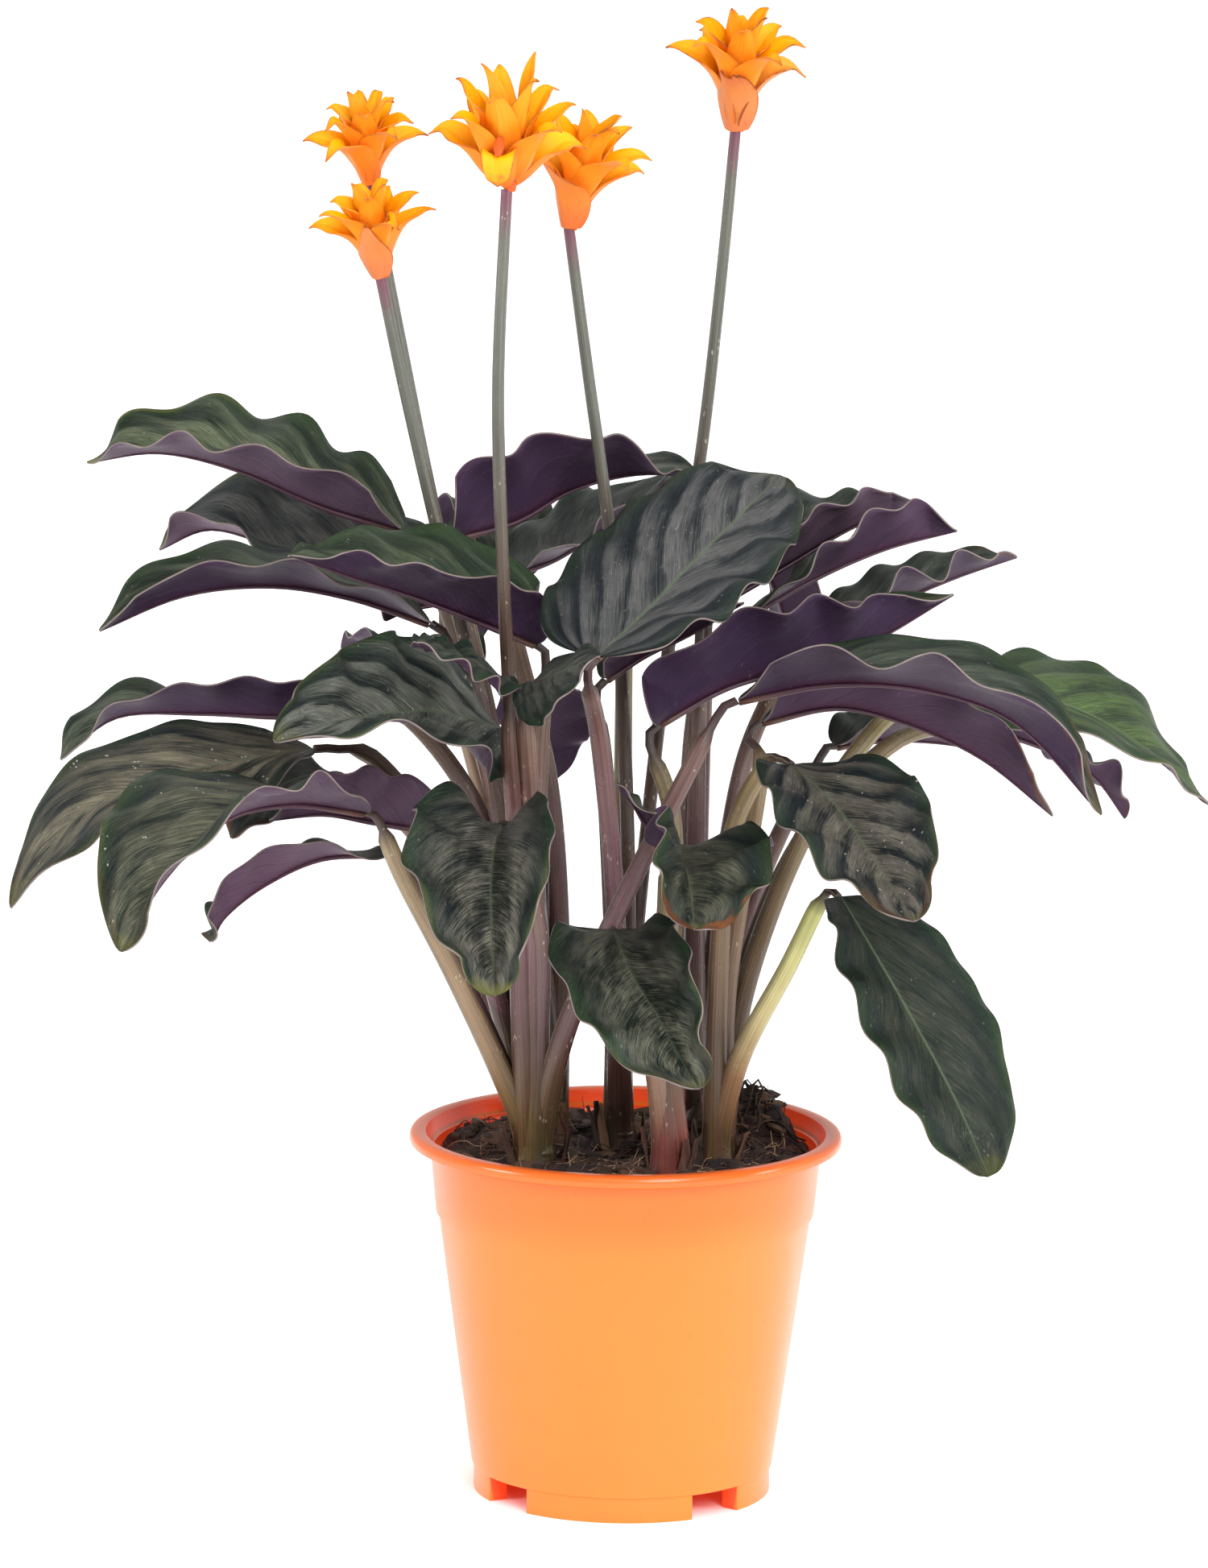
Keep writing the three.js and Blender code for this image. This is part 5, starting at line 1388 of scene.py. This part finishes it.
def pot_plastic(wear):
    """Glossy orange plastic with faint moulding rings, a few specks and peat dust near the rim, painted shade
    under the lip, and a painted deeper red with a painted glow on the inner wall.
    """
    material, tree, shader = new_finish("pot plastic")
    where = place_on_object(tree)
    worn = use(tree, wear, Patches=26.0, Specks=420.0)
    height = lay(tree, "ShaderNodeSeparateXYZ", {0: where}).outputs[2]
    rings = cloud(tree, stretched(tree, where, (0.3, 0.3, 4)), 22.0, 0.0)
    colour = blend(tree, worn["Mottle"], "#f97a26", "#fb7e2a")
    colour = blend(tree, times(tree, rings, 0.25), colour, "#ff8630")
    # painted shade: deeper orange from the shoulder up to the lip, standing in for the shadow under the rim
    neck = between(tree, height, (SHOULDER_HEIGHT - 6) * MM, (SHOULDER_HEIGHT + 12) * MM)
    colour = blend(tree, times(tree, neck, 0.5), colour, "#f0601c")
    lip = (POT_HEIGHT - LIP_HEIGHT) * MM
    high = between(tree, height, lip - 0.5 * MM, lip + 0.5 * MM)
    colour = blend(tree, times(tree, high, 0.6), colour, "#f06a28")
    level = stretched(tree, where, (1, 1, 0))
    radius = lay(tree, "ShaderNodeVectorMath", {0: level}, operation="LENGTH").outputs["Value"]
    flare = (NECK_RADIUS - BASE_RADIUS) / (POT_HEIGHT - LIP_HEIGHT - FLOOR_HEIGHT)
    wall = scaled(tree, height, flare, (BASE_RADIUS - flare * FLOOR_HEIGHT - 0.9) * MM)
    inner_shade_and_glow = between(tree, reckon(tree, "SUBTRACT", wall, radius), -0.2 * MM, 0.3 * MM)
    mouth = between(tree, radius, (RIM_RADIUS - 4.4) * MM, (RIM_RADIUS - 5.4) * MM)
    inner_shade_and_glow = reckon(tree, "MAXIMUM", inner_shade_and_glow, times(tree, mouth, high))
    # painted shade: the inner wall gets a deeper red than the same plastic outside
    colour = blend(tree, times(tree, inner_shade_and_glow, 0.85), colour, "#ea4414")
    dust = times(tree, between(tree, worn["Mottle"], 0.62, 0.75), between(tree, height, 0.09, 0.118))
    colour = blend(tree, times(tree, dust, 0.25), colour, "#7a4a2c")
    speck = times(tree, worn["Speck"], 0.15)
    colour = blend(tree, speck, colour, "#8a4c22")
    wire(tree, colour, shader.inputs["Base Color"])
    gloss = scaled(tree, worn["Mottle"], 0.05, 0.18)
    wire(tree, scaled(tree, rings, 0.06, gloss), shader.inputs["Roughness"])
    wire(tree, relief(tree, rings, 0.12), shader.inputs["Normal"])
    # painted glow on the inner wall, standing in for light through the plastic
    wire(tree, blend(tree, inner_shade_and_glow, "#000000", "#d83a14"), shader.inputs["Emission Color"])
    shader.inputs["Emission Strength"].default_value = 0.3
    shader.inputs["Subsurface Weight"].default_value = 0.08
    shader.inputs["Subsurface Radius"].default_value = (1.0, 0.4, 0.1)
    shader.inputs["Subsurface Scale"].default_value = 2 * MM
    return material


def peat(wear):
    """Moist fibrous potting soil."""
    material, tree, shader = new_finish("peat")
    where = place_on_object(tree)
    worn = use(tree, wear, Patches=210.0, Specks=420.0)
    strands = cloud(tree, stretched(tree, where, (900, 160, 400)), 1.0, 5.0, 0.7)
    strands_b = cloud(tree, stretched(tree, where, (170, 950, 400)), 1.0, 5.0, 0.7)
    mixed = reckon(tree, "MAXIMUM", strands, strands_b)
    colour = blend(tree, worn["Mottle"], "#241619", "#573b36")
    colour = blend(tree, between(tree, mixed, 0.55, 0.72), colour, "#a07c68")
    colour = blend(tree, between(tree, worn["Grain"], 0.45, 0.3), colour, "#140d0b")
    wire(tree, colour, shader.inputs["Base Color"])
    wire(tree, scaled(tree, worn["Grain"], 0.25, 0.7), shader.inputs["Roughness"])
    height = reckon(tree, "ADD", mixed, worn["Grain"])
    wire(tree, relief(tree, height, 0.9), shader.inputs["Normal"])
    return material


def root_skin(wear):
    """Strands, bark and husks: their own tint, roughened."""
    material, tree, shader = new_finish("root skin")
    tint, _, _ = kept_note(tree, "tint")
    worn = use(tree, wear, Patches=260.0, Specks=800.0)
    shade = scaled(tree, worn["Mottle"], 1.0, 0.5)
    colour = tinted(tree, tint, shade)
    colour = blend(tree, times(tree, worn["Speck"], 0.4), colour, "#a08c70")
    wire(tree, colour, shader.inputs["Base Color"])
    wire(tree, scaled(tree, worn["Grain"], 0.25, 0.65), shader.inputs["Roughness"])
    wire(tree, relief(tree, worn["Grain"], 0.35), shader.inputs["Normal"])
    return material


def floor_paint():
    """Plain pale floor with the faintest unevenness, lit from below as on a light table except under the pot,
    where the missing glow leaves a painted shadow.
    """
    material, tree, shader = new_finish("pale floor")
    colour = blend(tree, cloud(tree, place_on_object(tree), 3.0), "#f6f5f4", "#faf9f8")
    wire(tree, colour, shader.inputs["Base Color"])
    away = lay(tree, "ShaderNodeVectorMath", {0: place_on_object(tree)}, operation="LENGTH").outputs["Value"]
    # painted shadow: no glow within this radius of the pot's middle
    lit = between(tree, away, (BASE_RADIUS - 12) * MM, (BASE_RADIUS + 8) * MM)
    wire(tree, blend(tree, lit, "#000000", "#ffffff"), shader.inputs["Emission Color"])
    shader.inputs["Emission Strength"].default_value = 0.45
    shader.inputs["Roughness"].default_value = 0.6
    return material


def make_finishes():
    veins, wear = veining(), weathering()
    return {
        "leaf top": leaf_top(veins, wear),
        "leaf underside": leaf_underside(veins, wear),
        "leaf margin": leaf_margin(wear),
        "midrib": midrib_skin(wear),
        "stalk skin": stalk_skin(wear),
        "bract inside": bract_finish("bract inside", wear, "#fdb800", "#fbac05", "#f48a10", "#a85a1c"),
        "bract outside": bract_finish("bract outside", wear, "#f0861e", "#f99a18", "#e2661e", "#934418"),
        "bract edge": bract_finish("bract edge", wear, "#f09028", "#f59c1c", "#e08038", "#8a4218"),
        "floret": bract_finish("floret", wear, "#dc5a1e", "#e07a24", "#dc5a20", "#b04a1c"),
        "pot plastic": pot_plastic(wear),
        "peat": peat(wear),
        "root skin": root_skin(wear),
        "floor": floor_paint(),
    }


# ---- studio ----
# The camera's place, pitch, roll and lens were fitted by a program to the outline of the pot.
CAMERA_PLACE = (-8.4, -2500, 668)
CAMERA_PITCH = 0.1727       # radians below level
CAMERA_ROLL = 0.012         # radians
LENS = 181.4                # on a 36 mm frame
FRONT_LIGHT = 0.4           # light of the white surroundings on the camera's side
BACK_LIGHT = 0.75           # and behind the plant; they look fully white


def camera():
    """The view: from the front, a little above, square to the pot."""
    data = bpy.data.cameras.new("camera")
    data.lens = LENS
    data.sensor_width = 36
    data.clip_end = 100
    eye = bpy.data.objects.new("camera", data)
    bpy.context.scene.collection.objects.link(eye)
    ahead = Vector((0, math.cos(CAMERA_PITCH), -math.sin(CAMERA_PITCH)))
    level = Vector((1, 0, 0))
    above = level.cross(ahead)
    across = level * math.cos(CAMERA_ROLL) + above * math.sin(CAMERA_ROLL)
    above = above * math.cos(CAMERA_ROLL) - level * math.sin(CAMERA_ROLL)
    turn = Matrix((across, above, -ahead)).transposed().to_4x4()
    eye.matrix_world = Matrix.Translation(Vector(CAMERA_PLACE) * MM) @ turn
    bpy.context.scene.camera = eye


def softbox(name, place, aim, size, power):
    data = bpy.data.lights.new(name, "AREA")
    data.shape = "DISK"
    data.size = size
    data.energy = power
    lamp = bpy.data.objects.new(name, data)
    bpy.context.scene.collection.objects.link(lamp)
    lamp.location = place
    lamp.rotation_euler = (Vector(aim) - Vector(place)).to_track_quat("-Z", "Y").to_euler()


def studio(finishes):
    bpy.ops.object.select_all(action="DESELECT")
    bpy.ops.mesh.primitive_plane_add(size=40)
    floor = named(bpy.context.object, "floor")
    dress(floor, finishes["floor"])
    world = bpy.data.worlds.new("soft surround")
    world.use_nodes = True
    background = world.node_tree.nodes["Background"]
    background.inputs["Color"].default_value = (1, 1, 1, 1)
    sky = world.node_tree
    seen = lay(sky, "ShaderNodeLightPath", {}).outputs["Is Camera Ray"]
    direction = lay(sky, "ShaderNodeTexCoord", {}).outputs["Generated"]
    depth = lay(sky, "ShaderNodeSeparateXYZ", {0: direction}).outputs[1]
    behind = between(sky, depth, -0.6, 0.7)
    strength = scaled(sky, behind, BACK_LIGHT - FRONT_LIGHT, FRONT_LIGHT)
    wire(sky, reckon(sky, "MAXIMUM", seen, strength), background.inputs["Strength"])
    bpy.context.scene.world = world
    sun = bpy.data.lights.new("broad key", "SUN")
    sun.energy = 1.4
    sun.angle = math.radians(50)
    key = bpy.data.objects.new("broad key", sun)
    bpy.context.scene.collection.objects.link(key)
    key.rotation_euler = Vector((-0.25, 0.75, -1.0)).to_track_quat("-Z", "Y").to_euler()
    softbox("front softbox", (0.55, -1.5, 0.9), (0, 0, 0.15), 0.7, 14)
    softbox("left softbox", (-1.6, -0.6, 0.7), (0, 0, 0.25), 0.6, 12)
    softbox("right softbox", (1.6, -0.4, 0.6), (0, 0, 0.2), 0.6, 10)
    bpy.context.scene.view_settings.view_transform = "Standard"


# ---- assembly ----
camera()
finishes = make_finishes()
studio(finishes)

blade_sheet = sheet_template("blade_template", 24, 92)
bract_sheet = sheet_template("bract_template", 12, 18)
stalk_rod = rod_template("stalk_template", 16, 40)
vein_rod = rod_template("vein_template", 8, 24)
strand_rod = rod_template("strand_template", 5, 8)
lump = lump_template()

pot_piece(finishes)
soil_piece(finishes)
fibres_piece(strand_rod, finishes)
crumbs_piece(lump, finishes)
husks_piece(bract_sheet, finishes)
for shoot in SHOOTS:
    shoot_piece(shoot, stalk_rod, finishes)
for row in LEAVES:
    leaf_piece(row, blade_sheet, vein_rod, finishes)
for row in FLOWERS:
    bloom_piece(row, bract_sheet, stalk_rod, finishes)
for template in (blade_sheet, bract_sheet, stalk_rod, vein_rod, strand_rod, lump):
    bpy.data.objects.remove(template)
